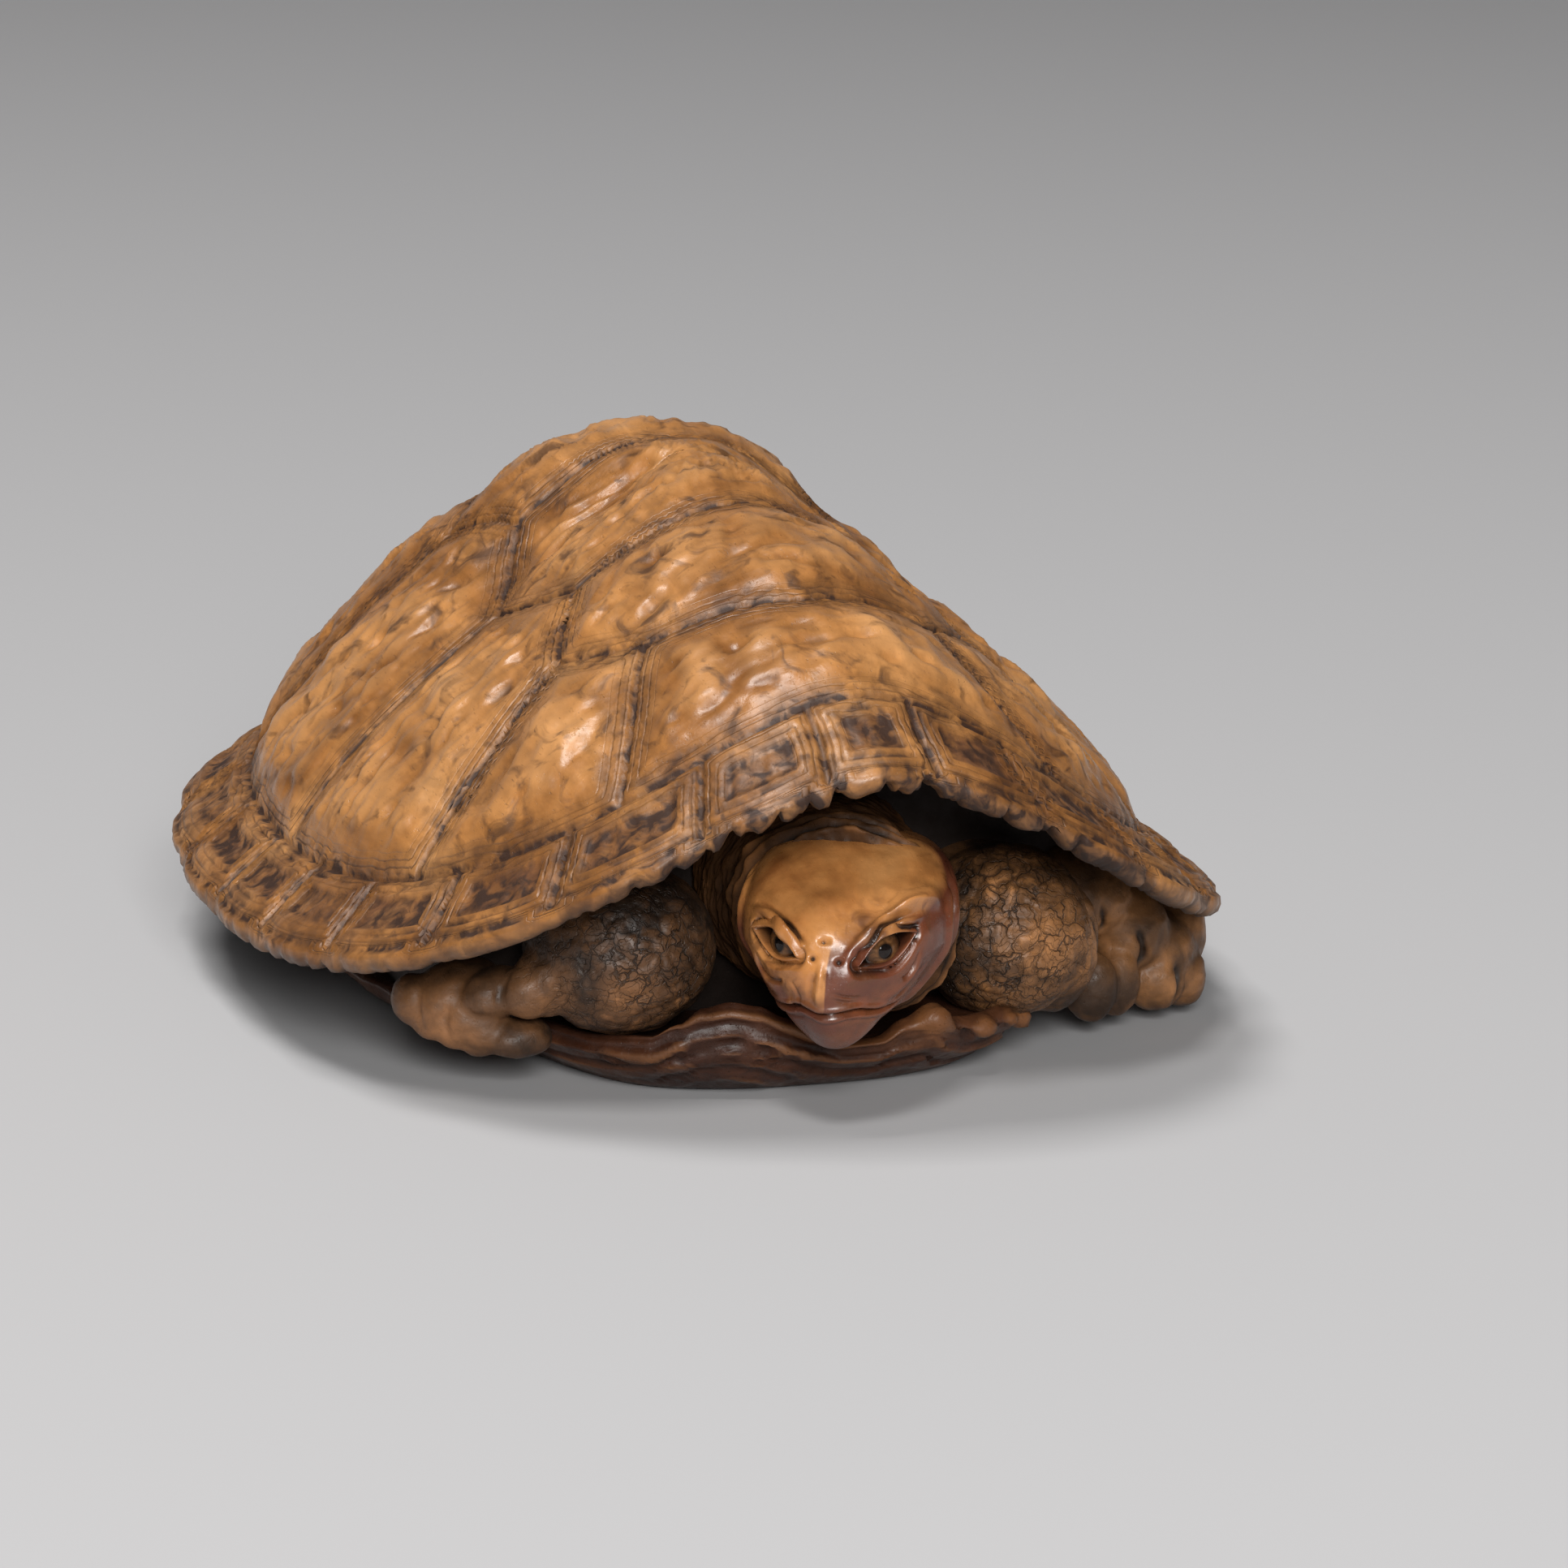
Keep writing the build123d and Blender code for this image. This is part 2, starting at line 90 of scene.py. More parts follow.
bm = bmesh.new()
bmesh.ops.create_grid(bm, x_segments=2, y_segments=60, size=1)
for vertex in bm.verts:
    run = max(vertex.co.y - sweep_turn, 0) / (1 - sweep_turn)
    vertex.co = Vector((
        vertex.co.x * sweep_half_width,
        vertex.co.y * sweep_depth,
        sweep_rise * run ** 2.5,
    ))
sweep_mesh = bpy.data.meshes.new("paper_sweep")
bm.to_mesh(sweep_mesh)
bm.free()
sweep_mesh.shade_smooth()
paper_sweep = bpy.data.objects.new("paper_sweep", sweep_mesh)
bpy.context.scene.collection.objects.link(paper_sweep)
paper = bpy.data.materials.new("grey_paper")
paper.use_nodes = True
paper_face = paper.node_tree.nodes["Principled BSDF"]
paper_face.inputs["Base Color"].default_value = paper_grey
paper_face.inputs["Roughness"].default_value = 0.9
sweep_mesh.materials.append(paper)


def soft_light(name, place, size, watts, tint):
    """A square soft box at a place in metres, turned towards the figure."""
    data = bpy.data.lights.new(name, "AREA")
    data.size = size
    data.energy = watts
    data.color = tint
    lamp = bpy.data.objects.new(name, data)
    lamp.location = place
    lamp.rotation_euler = (figure_middle - Vector(place)).to_track_quat("-Z", "Y").to_euler()
    bpy.context.scene.collection.objects.link(lamp)


soft_light("overhead_box", (-0.22, 0.00, 0.66), 0.24, 2.7, lamp_white)
soft_light("brow_box", (-0.16, -0.33, 0.58), 0.12, 1.7, lamp_white)
soft_light("front_box", (-0.12, -0.58, 0.28), 0.22, 3.6, front_white)
room = bpy.data.worlds.new("room")
room.use_nodes = True
room.node_tree.nodes["Background"].inputs["Color"].default_value = room_grey
room.node_tree.nodes["Background"].inputs["Strength"].default_value = room_strength
bpy.context.scene.world = room


# Shell. The carapace is the top of one block of boxwood: a keeled dome over a
# flared rim, arched above the head, cut by knife into vertebral, costal and
# marginal scutes, then stained so that the cuts stay dark, and waxed.
half_length = 28.5
half_width = 22.8
crown_height = 24.6
flank_rim_height = 4.4
head_arch_height = 11.2
head_arch_spread = 33
rear_lift = 2.0
rim_thickness = 1.3
roof_thickness = 1.65
marginal_rise = 3.7
crown_hump = 0.9
hump_setback = 8
hump_length = 8
hump_width = 9
outline_power = 2.4
marginal_share = 0.872
core_half_width = 16.0
core_half_length = 14.7
plate_top = 2.6
scallop = 0.35


def outline_reach(angle):
    """Plan distance from the middle to the rim, at an angle from the head."""
    along = abs(math.cos(angle)) / half_length
    side = abs(math.sin(angle)) / half_width
    return (along ** outline_power + side ** outline_power) ** (-1 / outline_power)


def rim_height(angle):
    """Height of the rim's lower edge: arched over the head, a little lifted behind."""
    turned = math.degrees(abs(angle))
    arch = head_arch_height * math.exp(-((turned / head_arch_spread) ** 1.75))
    behind = math.sin(max(abs(angle) - math.pi / 2, 0)) ** 2
    return flank_rim_height + arch + rear_lift * behind


def shell_height(x, y):
    """Height of the uncarved shell over a plan point."""
    angle = math.atan2(x, -y)
    share = math.hypot(x, y) / outline_reach(angle)
    rim = rim_height(angle)
    seam = rim + marginal_rise
    if share > marginal_share:
        flare = (share - marginal_share) / (1 - marginal_share)
        return seam - (marginal_rise - rim_thickness) * flare
    inner = share / marginal_share
    flank = math.sin(angle) ** 2
    # The slope is fuller towards the head than behind, and nearly straight on the flanks
    if abs(angle) < math.pi / 2:
        full = 1.87 + (1.1 - 1.87) * flank
        straight = 1 - 0.14 * flank
    else:
        full = 2.5 + (1.1 - 2.5) * flank
        straight = 0.86
    fall = straight * inner ** full + (1 - straight) * inner ** 7.5
    hump = crown_hump * math.exp(-((y - hump_setback) / hump_length) ** 2 - (x / hump_width) ** 2)
    return seam + (crown_height - seam) * (1 - fall) + hump


def rim_place(angle, share=1.0):
    """Plan point at an angle from the head, at a share of the way to the rim."""
    reach = outline_reach(angle) * share
    return Vector((reach * math.sin(angle), -reach * math.cos(angle), 0))


# Seam places: marginal and costal seams meet the rim by angle, the rest are shares of half sizes
marginal_angles = (5, 16, 29, 42, 56, 71, 88, 106, 123, 139, 154, 168)
costal_angles = (49, 84, 122)
joints = ((0.30, -0.53), (0.33, -0.23), (0.32, 0.14), (0.25, 0.47))
keels = (-0.61, -0.24, 0.13, 0.49)
wides = ((0.43, -0.40), (0.43, -0.05), (0.41, 0.30))


def scute_seams():
    """Every seam as a chain of plan points, both sides of the keel."""
    for side in (1, -1):
        def at(pair):
            return Vector((side * pair[0] * half_width, pair[1] * half_length, 0))
        chain = [rim_place(side * math.radians(24), marginal_share)]
        for joint, wide in zip(joints, wides):
            chain += [at(joint), at(wide)]
        chain += [at(joints[-1]), rim_place(side * math.radians(158), marginal_share)]
        yield chain
        for joint, keel in zip(joints, keels):
            yield [at(joint), Vector((0, keel * half_length, 0))]
        for wide, turned in zip(wides, costal_angles):
            yield [at(wide), rim_place(side * math.radians(turned), marginal_share)]
        for turned in marginal_angles:
            angle = side * math.radians(turned)
            yield [rim_place(angle, marginal_share), rim_place(angle, 1.02)]
        yield [rim_place(side * math.radians(turned), marginal_share) for turned in range(0, 181, 3)]


def on_shell(point):
    """A plan point lifted onto the uncarved shell."""
    return Vector((point.x, point.y, shell_height(point.x, point.y)))


seam_spots = []
for chain in scute_seams():
    for first, last in zip(chain, chain[1:]):
        steps = max(int((last - first).length / 0.12), 1)
        for step in range(steps):
            spot = first.lerp(last, step / steps)
            wander = 0.16 * noise.noise(spot * 0.5) + 0.05 * noise.noise(spot * 2.1)
            turn = (last - first).normalized()
            spot += Vector((-turn.y, turn.x, 0)) * wander
            seam_spots.append(on_shell(spot))
seam_tree = kdtree.KDTree(len(seam_spots))
for number, spot in enumerate(seam_spots):
    seam_tree.insert(spot, number)
seam_tree.balance()


def smooth_step(low, high, value):
    """0 below low, 1 above high, eased between."""
    share = min(max((value - low) / (high - low), 0), 1)
    return share * share * (3 - 2 * share)


def bell(value, width):
    """A soft bump of height 1 and about that half width."""
    return math.exp(-((value / width) ** 2))


def framed_gap(seam_gap, marginal, rim_gap):
    """Distance to the nearest seam, or on the marginal scutes to the line along the rim."""
    return min(seam_gap, rim_gap + 0.12) if marginal > 0.5 and rim_gap > 0.16 else seam_gap


def scute_carving(spot, seam_gap, share, rim_gap):
    """How far the knife left a point above or below the plain shell."""
    marginal = smooth_step(marginal_share - 0.004, marginal_share + 0.004, share)
    vary = 0.6 + 0.7 * noise.noise(spot * 0.35 + Vector((7, 1, 3)))
    cut = -0.40 * bell(seam_gap, 0.15)
    seam_gap = framed_gap(seam_gap, marginal, rim_gap)
    for groove, depth in ((0.42, 0.24), (0.80, 0.20), (1.15, 0.10)):
        cut -= depth * (vary + 0.3 * marginal) * bell(seam_gap - groove, 0.11)
    swell = 0.42 * smooth_step(0.1, 3.4, seam_gap)
    down = Vector((spot.x, spot.y * 0.45, spot.z * 0.5))
    lumps = noise.fractal(down * 0.42, 1.0, 2.0, 2)
    dented = Vector((spot.x * 0.55, spot.y * 1.1, spot.z * 0.8)) + Vector((2, 5, 8))
    dents = max(noise.noise(dented) - 0.15, 0)
    ripples = noise.noise(Vector((spot.x * 0.8, spot.y * 1.7, spot.z * 1.2)) + Vector((3, 9, 4)))
    worked = smooth_step(0.9, 2.4, seam_gap)
    angle = math.atan2(spot.x, -spot.y)
    marks = noise.fractal(Vector((angle * 12, math.hypot(spot.x, spot.y) * 0.4, 2)), 1.0, 2.0, 2)
    field = swell + worked * (0.26 * lumps + 0.10 * ripples + 0.17 * marks - 0.60 * dents)
    hatch = noise.noise(Vector((angle * 75, rim_gap * 0.7, 3.0)))
    panel = smooth_step(0.95, 1.4, seam_gap)
    recess = 0.06 * smooth_step(0.2, 0.5, seam_gap) - panel * (0.26 - 0.12 * lumps - 0.09 * hatch)
    return cut + field * (1 - marginal) + recess * marginal


def core_reach(angle):
    """Plan distance from the middle to the block's solid core."""
    along = abs(math.cos(angle)) / core_half_length
    side = abs(math.sin(angle)) / core_half_width
    return (along ** 6 + side ** 6) ** (-1 / 6)


def drawn_round(spot):
    """A point of a square grid drawn onto a disc without a pole: its angle and its share of the way out."""
    if abs(spot.x) >= abs(spot.y):
        reach, turn = spot.x, math.pi / 4 * spot.y / spot.x if spot.x else 0
    else:
        reach, turn = spot.y, math.pi / 2 - math.pi / 4 * spot.x / spot.y
    across_share, along_share = reach * math.cos(turn), reach * math.sin(turn)
    return math.atan2(across_share, -along_share), math.hypot(across_share, along_share)


def pushed_ring(bm, edges):
    """A new ring of wall grown from an open edge: its edges and its points."""
    ring = bmesh.ops.extrude_edge_only(bm, edges=edges)["geom"]
    new_edges = [part for part in ring if isinstance(part, bmesh.types.BMEdge)]
    return new_edges, [part for part in ring if isinstance(part, bmesh.types.BMVert)]


def finished_piece(name, bm):
    """The object made of a form whose sizes are in metres by now, all its faces outwards."""
    bmesh.ops.recalc_face_normals(bm, faces=bm.faces)
    mesh = bpy.data.meshes.new(name)
    bm.to_mesh(mesh)
    bm.free()
    mesh.shade_smooth()
    piece = bpy.data.objects.new(name, mesh)
    bpy.context.scene.collection.objects.link(piece)
    return piece


shell_grid = 250
bm = bmesh.new()
bmesh.ops.create_grid(bm, x_segments=shell_grid, y_segments=shell_grid, size=1)
shares = bm.verts.layers.float.new("share")
for vertex in bm.verts:
    angle, share = drawn_round(vertex.co)
    vertex[shares] = share
    plan = rim_place(angle, share)
    vertex.co = Vector((plan.x, plan.y, shell_height(plan.x, plan.y)))
bm.normal_update()

seam_layer = bm.verts.layers.float.new("seam_gap")
carve_layer = bm.verts.layers.float.new("carved")
rim_layer = bm.verts.layers.float.new("rim_gap")
moves = []
for vertex in bm.verts:
    seam_gap = seam_tree.find(vertex.co)[2]
    rim_gap = (1 - vertex[shares]) * outline_reach(math.atan2(vertex.co.x, -vertex.co.y))
    carved = scute_carving(vertex.co, seam_gap, vertex[shares], rim_gap)
    vertex[seam_layer] = framed_gap(seam_gap, vertex[shares] > marginal_share, rim_gap)
    vertex[carve_layer] = carved
    vertex[rim_layer] = rim_gap
    bulge = scallop * smooth_step(0.75, 1, vertex[shares]) * smooth_step(0, 2.5, seam_gap)
    out = Vector((vertex.co.x, vertex.co.y, 0)).normalized() * bulge
    moves.append(vertex.normal * carved + out)
for vertex, move in zip(bm.verts, moves):
    vertex.co += move

# The rim turns over into the hollow under it, which ends at the solid core
rim_steps = ((1.006, 0.30), (1.008, 0.65), (1.003, 1.0), (0.99, 1.25), (0.972, 1.34))
hollow_steps = (0.12, 0.28, 0.45, 0.62, 0.8, 0.94, 1.0)
wall_steps = (0.3, 0.65, 1.0)
edges = [edge for edge in bm.edges if edge.is_boundary]
for number in range(len(rim_steps) + len(hollow_steps) + len(wall_steps)):
    edges, verts = pushed_ring(bm, edges)
    for vertex in verts:
        angle = math.atan2(vertex.co.x, -vertex.co.y)
        edge_spot = rim_place(angle)
        near_head = smooth_step(0.62, 0.15, abs(angle - 0.06))
        jag = 0.9 * noise.noise(edge_spot * 0.7) + 0.7 * noise.noise(edge_spot * 1.5)
        jag += 0.5 * noise.noise(edge_spot * 2.7)
        bite = near_head * 1.5 * max(jag - 0.02, 0) + 0.3 * max(jag - 0.3, 0)
        nick = 0.3 * max(noise.noise(edge_spot * 1.1) + 0.15, 0) + bite
        seam_gap = vertex[seam_layer]
        if number < len(rim_steps):
            share, drop = rim_steps[number]
            place = rim_place(angle, share)
            place += place.normalized() * scallop * smooth_step(0, 2.5, seam_gap)
            top = rim_height(angle) + rim_thickness
            place.z = top - drop + min(nick, 1.15) * smooth_step(0.3, 1.2, drop)
            place -= place.normalized() * 0.45 * min(nick, 0.9) * smooth_step(0.2, 0.8, drop)
            # The rim's lower side near the head, deepest in the bites, is painted dark: painted shade under
            # the overhang.
            rim_underside_shade = near_head * smooth_step(0.1, 0.7, drop) * (0.8 + 1.5 * bite)
        elif number < len(rim_steps) + len(hollow_steps):
            run = hollow_steps[number - len(rim_steps)]
            outer, inner = 0.96 * outline_reach(angle), core_reach(angle)
            place = rim_place(angle, (outer + (inner - outer) * run) / outline_reach(angle))
            place.z = shell_height(place.x, place.y) - roof_thickness
        else:
            run = wall_steps[number - len(rim_steps) - len(hollow_steps)]
            place = rim_place(angle, core_reach(angle) / outline_reach(angle))
            ceiling = shell_height(place.x, place.y) - roof_thickness
            place.z = ceiling + (plate_top - 0.2 - ceiling) * run
        vertex.co = place
        # The carved value carries the painted shade of the rim's lower side, which the finish turns dark.
        vertex[carve_layer] = -0.4 * rim_underside_shade
        vertex[seam_layer] = max(seam_gap, 0.6 + number)
        vertex[rim_layer] = -1 - number
bmesh.ops.contextual_create(bm, geom=edges)
bmesh.ops.scale(bm, vec=(mm, mm, mm), verts=bm.verts)
shell = finished_piece("shell", bm)


def wood_grain():
    """Boxwood seen close: slow changes of tone, streaks along the grain and short dark pores."""
    group = bpy.data.node_groups.new("wood_grain", "ShaderNodeTree")
    face = group.interface
    for name in ("Fibre Height", "Pore Depth"):
        face.new_socket(name, in_out="INPUT", socket_type="NodeSocketFloat")
    for name in ("Tone", "Streaks", "Pores", "Relief"):
        face.new_socket(name, in_out="OUTPUT", socket_type="NodeSocketFloat")
    nodes, links = group.nodes, group.links
    inward = nodes.new("NodeGroupInput")
    outward = nodes.new("NodeGroupOutput")
    place = nodes.new("ShaderNodeTexCoord")
    stretch = nodes.new("ShaderNodeVectorMath")
    stretch.operation = "MULTIPLY"
    stretch.inputs[1].default_value = (1000, 140, 1000)
    links.new(place.outputs["Object"], stretch.inputs[0])

    tone = nodes.new("ShaderNodeTexNoise")
    tone.inputs["Scale"].default_value = 130
    tone.inputs["Detail"].default_value = 3
    tone.inputs["Distortion"].default_value = 0.4
    links.new(place.outputs["Object"], tone.inputs["Vector"])

    streaks = nodes.new("ShaderNodeTexNoise")
    streaks.inputs["Scale"].default_value = 1.1
    streaks.inputs["Detail"].default_value = 4
    streaks.inputs["Roughness"].default_value = 0.6
    streaks.inputs["Distortion"].default_value = 0.3
    links.new(stretch.outputs[0], streaks.inputs["Vector"])

    dots = nodes.new("ShaderNodeTexNoise")
    dots.inputs["Scale"].default_value = 9.0
    dots.inputs["Detail"].default_value = 2
    links.new(stretch.outputs[0], dots.inputs["Vector"])
    pores = nodes.new("ShaderNodeMapRange")
    pores.inputs["From Min"].default_value = 0.64
    pores.inputs["From Max"].default_value = 0.80
    links.new(dots.outputs["Fac"], pores.inputs["Value"])

    depth = nodes.new("ShaderNodeMath")
    depth.operation = "MULTIPLY"
    links.new(pores.outputs["Result"], depth.inputs[0])
    links.new(inward.outputs["Pore Depth"], depth.inputs[1])
    fibre = nodes.new("ShaderNodeMath")
    fibre.operation = "MULTIPLY"
    links.new(streaks.outputs["Fac"], fibre.inputs[0])
    links.new(inward.outputs["Fibre Height"], fibre.inputs[1])
    relief = nodes.new("ShaderNodeMath")
    relief.operation = "SUBTRACT"
    links.new(fibre.outputs[0], relief.inputs[0])
    links.new(depth.outputs[0], relief.inputs[1])
    links.new(tone.outputs["Fac"], outward.inputs["Tone"])
    links.new(streaks.outputs["Fac"], outward.inputs["Streaks"])
    links.new(depth.outputs[0], outward.inputs["Pores"])
    links.new(relief.outputs[0], outward.inputs["Relief"])
    return group


wood_grain_group = wood_grain()


class Bench:
    """Small helpers to wire one material's nodes."""

    def __init__(self, name):
        self.material = bpy.data.materials.new(name)
        self.material.use_nodes = True
        self.nodes = self.material.node_tree.nodes
        self.links = self.material.node_tree.links
        self.face = self.nodes["Principled BSDF"]

    def value(self, name):
        """A float carried by the mesh."""
        node = self.nodes.new("ShaderNodeAttribute")
        node.attribute_name = name
        return node.outputs["Fac"]

    def grain(self, fibre=1.0, pores=1.0):
        """This material's own wood grain, with the height of its fibres and the depth of its pores."""
        node = self.nodes.new("ShaderNodeGroup")
        node.node_tree = wood_grain_group
        node.inputs["Fibre Height"].default_value = fibre
        node.inputs["Pore Depth"].default_value = pores
        return node

    def ramp(self, source, *stops):
        """Grey or colour stops over a value: pairs of place and shade."""
        node = self.nodes.new("ShaderNodeValToRGB")
        steps = node.color_ramp.elements
        while len(steps) < len(stops):
            steps.new(0.5)
        for step, (place, shade) in zip(steps, stops):
            step.position = place
            step.color = shade if len(shade) == 4 else (*shade, 1)
        self.links.new(source, node.inputs["Fac"])
        return node.outputs["Color"]

    def spread(self, source, low, high, to_low=0.0, to_high=1.0):
        """A value remapped from one range to another."""
        node = self.nodes.new("ShaderNodeMapRange")
        ends = (("From Min", low), ("From Max", high), ("To Min", to_low), ("To Max", to_high))
        for name, number in ends:
            node.inputs[name].default_value = number
        self.links.new(source, node.inputs["Value"])
        return node.outputs["Result"]

    def mix(self, share, first, second, blend="MIX"):
        """One colour over another by a share or a mask."""
        node = self.nodes.new("ShaderNodeMix")
        node.data_type = "RGBA"
        node.blend_type = blend
        colour_sockets = (node.inputs["Factor"], node.inputs[6], node.inputs[7])
        for socket, source in zip(colour_sockets, (share, first, second)):
            if isinstance(source, (int, float, tuple)):
                socket.default_value = source
            else:
                self.links.new(source, socket)
        return node.outputs[2]

    def sum(self, kind, first, second):
        """Arithmetic of one kind on two values."""
        node = self.nodes.new("ShaderNodeMath")
        node.operation = kind
        for socket, source in zip(node.inputs, (first, second)):
            if isinstance(source, (int, float)):
                socket.default_value = source
            else:
                self.links.new(source, socket)
        return node.outputs[0]

    def speckle(self, scale, detail=2.0, distortion=0.0):
        """Noise on the piece's own coordinates, its scale per metre."""
        place = self.nodes.new("ShaderNodeTexCoord").outputs["Object"]
        node = self.nodes.new("ShaderNodeTexNoise")
        node.inputs["Scale"].default_value = scale
        node.inputs["Detail"].default_value = detail
        node.inputs["Distortion"].default_value = distortion
        self.links.new(place, node.inputs["Vector"])
        return node.outputs["Fac"]

    def patches(self, scale, detail, distortion, low, high, to_low=0.0, to_high=1.0):
        """Cloudy patches: noise spread from a range of its own to another."""
        return self.spread(self.speckle(scale, detail, distortion), low, high, to_low, to_high)

    def finish(self, colour, roughness, *reliefs):
        """Colour and roughness, then reliefs as pairs of height and depth in millimetres."""
        self.links.new(colour, self.face.inputs["Base Color"])
        self.links.new(roughness, self.face.inputs["Roughness"])
        normal = None
        for height, depth in reliefs:
            bump = self.nodes.new("ShaderNodeBump")
            bump.inputs["Distance"].default_value = depth * mm
            self.links.new(height, bump.inputs["Height"])
            if normal:
                self.links.new(normal, bump.inputs["Normal"])
            normal = bump.outputs["Normal"]
        if normal:
            self.links.new(normal, self.face.inputs["Normal"])
        return self.material


umber = (0.032, 0.012, 0.005, 1)
# Near black, painted as shade under the shell.
hollow_shade_black = (0.016, 0.008, 0.005, 1)
worn_gold = (0.58, 0.29, 0.11, 1)
panel_brown = (0.15, 0.062, 0.026, 1)


def shell_finish():
    """Waxed golden boxwood, dark in the cuts, clouded brown in the marginal panels."""
    bench = Bench("shell_boxwood")
    grain = bench.grain()
    tone = bench.sum("ADD", grain.outputs["Tone"], bench.patches(420, 4, 0.4, 0.3, 0.7, -0.12, 0.12))
    wood = bench.ramp(
        tone, (0.28, (0.20, 0.078, 0.020)), (0.45, (0.33, 0.140, 0.040)),
        (0.6, (0.42, 0.188, 0.058)), (0.78, (0.50, 0.245, 0.09)),
    )
    streak = bench.spread(grain.outputs["Streaks"], 0.35, 0.65, 0.74, 1.08)
    wood = bench.mix(1.0, wood, streak, "MULTIPLY")
    carved = bench.value("carved")
    worn = bench.spread(carved, 0.28, 0.65, 0.0, 0.6)
    wood = bench.mix(worn, wood, worn_gold)
    seam_gap = bench.sum("DIVIDE", bench.value("seam_gap"), 1.6)
    # Dark in the seam itself and in the three lines cut beside it
    cut = bench.ramp(
        seam_gap,
        (0.0, (1, 1, 1)), (0.08, (0.8, 0.8, 0.8)), (0.15, (0.08, 0.08, 0.08)),
        (0.22, (0.1, 0.1, 0.1)), (0.262, (0.75, 0.75, 0.75)), (0.32, (0.06, 0.06, 0.06)),
        (0.46, (0.04, 0.04, 0.04)), (0.50, (0.6, 0.6, 0.6)), (0.55, (0.03, 0.03, 0.03)),
        (0.70, (0.02, 0.02, 0.02)), (0.72, (0.25, 0.25, 0.25)), (0.76, (0, 0, 0)),
    )
    cut = bench.sum("MULTIPLY", cut, bench.patches(500, 3, 0, 0.3, 0.65, 0.45, 1.0))
    # Carved hollows take the stain. The painted shade of the rim's lower side comes in through the same
    # carved value.
    hollow = bench.spread(carved, 0.14, -0.22, 0.0, 1.0)
    smear = bench.patches(1000, 5, 0.8, 0.36, 0.60, 0.2, 1.2)
    stain = bench.sum("MULTIPLY", hollow, smear)
    stain = bench.sum("MAXIMUM", stain, cut)
    spots = bench.patches(520, 7, 1.2, 0.55, 0.70, 0.0, 0.75)
    stain = bench.sum("MINIMUM", bench.sum("MAXIMUM", stain, spots), 1.0)
    rim_gap = bench.value("rim_gap")
    panel = bench.sum("MULTIPLY", bench.spread(rim_gap, 0.6, 1.1), bench.spread(rim_gap, 3.4, 2.6))
    panel = bench.sum("MULTIPLY", panel, bench.spread(bench.value("seam_gap"), 0.9, 1.4))
    panel = bench.sum("MULTIPLY", panel, bench.patches(650, 5, 1.2, 0.34, 0.60, 0.2, 0.9))
    panel = bench.sum("MULTIPLY", panel, bench.patches(90, 1, 0, 0.42, 0.55, 0.35, 1.0))
    wood = bench.mix(panel, wood, panel_brown)
    wood = bench.mix(stain, wood, umber)
    # The rim's underside and the hollow under the shell are painted near black: painted shade under the
    # shell.
    under = bench.spread(rim_gap, -2.0, -5.5)
    dull = bench.sum("MAXIMUM", under, bench.sum("MULTIPLY", stain, 0.7))
    wood = bench.mix(under, wood, hollow_shade_black)
    wood = bench.mix(bench.sum("MULTIPLY", grain.outputs["Pores"], 0.35), wood, umber)
    rough = bench.patches(1400, 3, 0, 0.3, 0.7, 0.24, 0.40)
    rough = bench.sum("ADD", rough, bench.sum("MULTIPLY", dull, 0.45))
    bench.links.new(bench.spread(dull, 0.0, 1.0, 0.14, 0.0), bench.face.inputs["Coat Weight"])
    bench.face.inputs["Specular IOR Level"].default_value = 0.42
    bench.face.inputs["Coat Roughness"].default_value = 0.25
    return bench.finish(
        wood, rough,
        (grain.outputs["Relief"], 0.014),
        (bench.speckle(1100, 3, 0.4), 0.05),
        (bench.sum("MULTIPLY", cut, -1.0), 0.08),
    )


shell.data.materials.append(shell_finish())
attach(shell, "root")
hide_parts("carapace")


# Belly plate. The plastron is the underside of the same block: a plate with a
# lobe at each end and a bridge up to the shell on each flank. Its front edge
# is carved into a folded lip under the chin; seams are cut across below.
plate_half_width = 17.0
plate_half_length = 22.0
plate_outline = (
    (0, -1.01), (0.34, -0.99), (0.6, -0.87), (0.67, -0.7), (0.82, -0.52), (1.0, -0.3), (1.02, 0.0),
    (0.99, 0.3), (0.8, 0.5), (0.62, 0.68), (0.56, 0.85), (0.3, 0.97), (0, 0.91),
)
belly_seams = (-0.62, -0.36, -0.02, 0.36, 0.66)
face_inset = 3.4
# Front lip: across and height, in shares of the half width and in millimetres
lip_heights = (
    (-0.62, 0.1), (-0.47, 0.5), (-0.40, 1.2), (-0.34, 1.9), (-0.27, 2.2), (-0.2, 2.0),
    (-0.12, 1.4), (-0.04, 0.6), (0.03, 0.2), (0.13, 0.2), (0.21, 0.9), (0.29, 1.3),
    (0.35, 0.7), (0.44, 0.45), (0.56, 0.55), (0.62, 0.2), (0.68, 0),
)


def eased(table, at):
    """A value read from a table of pairs, eased between its entries."""
    if at <= table[0][0]:
        return table[0][1]
    for (low, first), (high, last) in zip(table, table[1:]):
        if at <= high:
            return first + (last - first) * smooth_step(low, high, at)
    return table[-1][1]


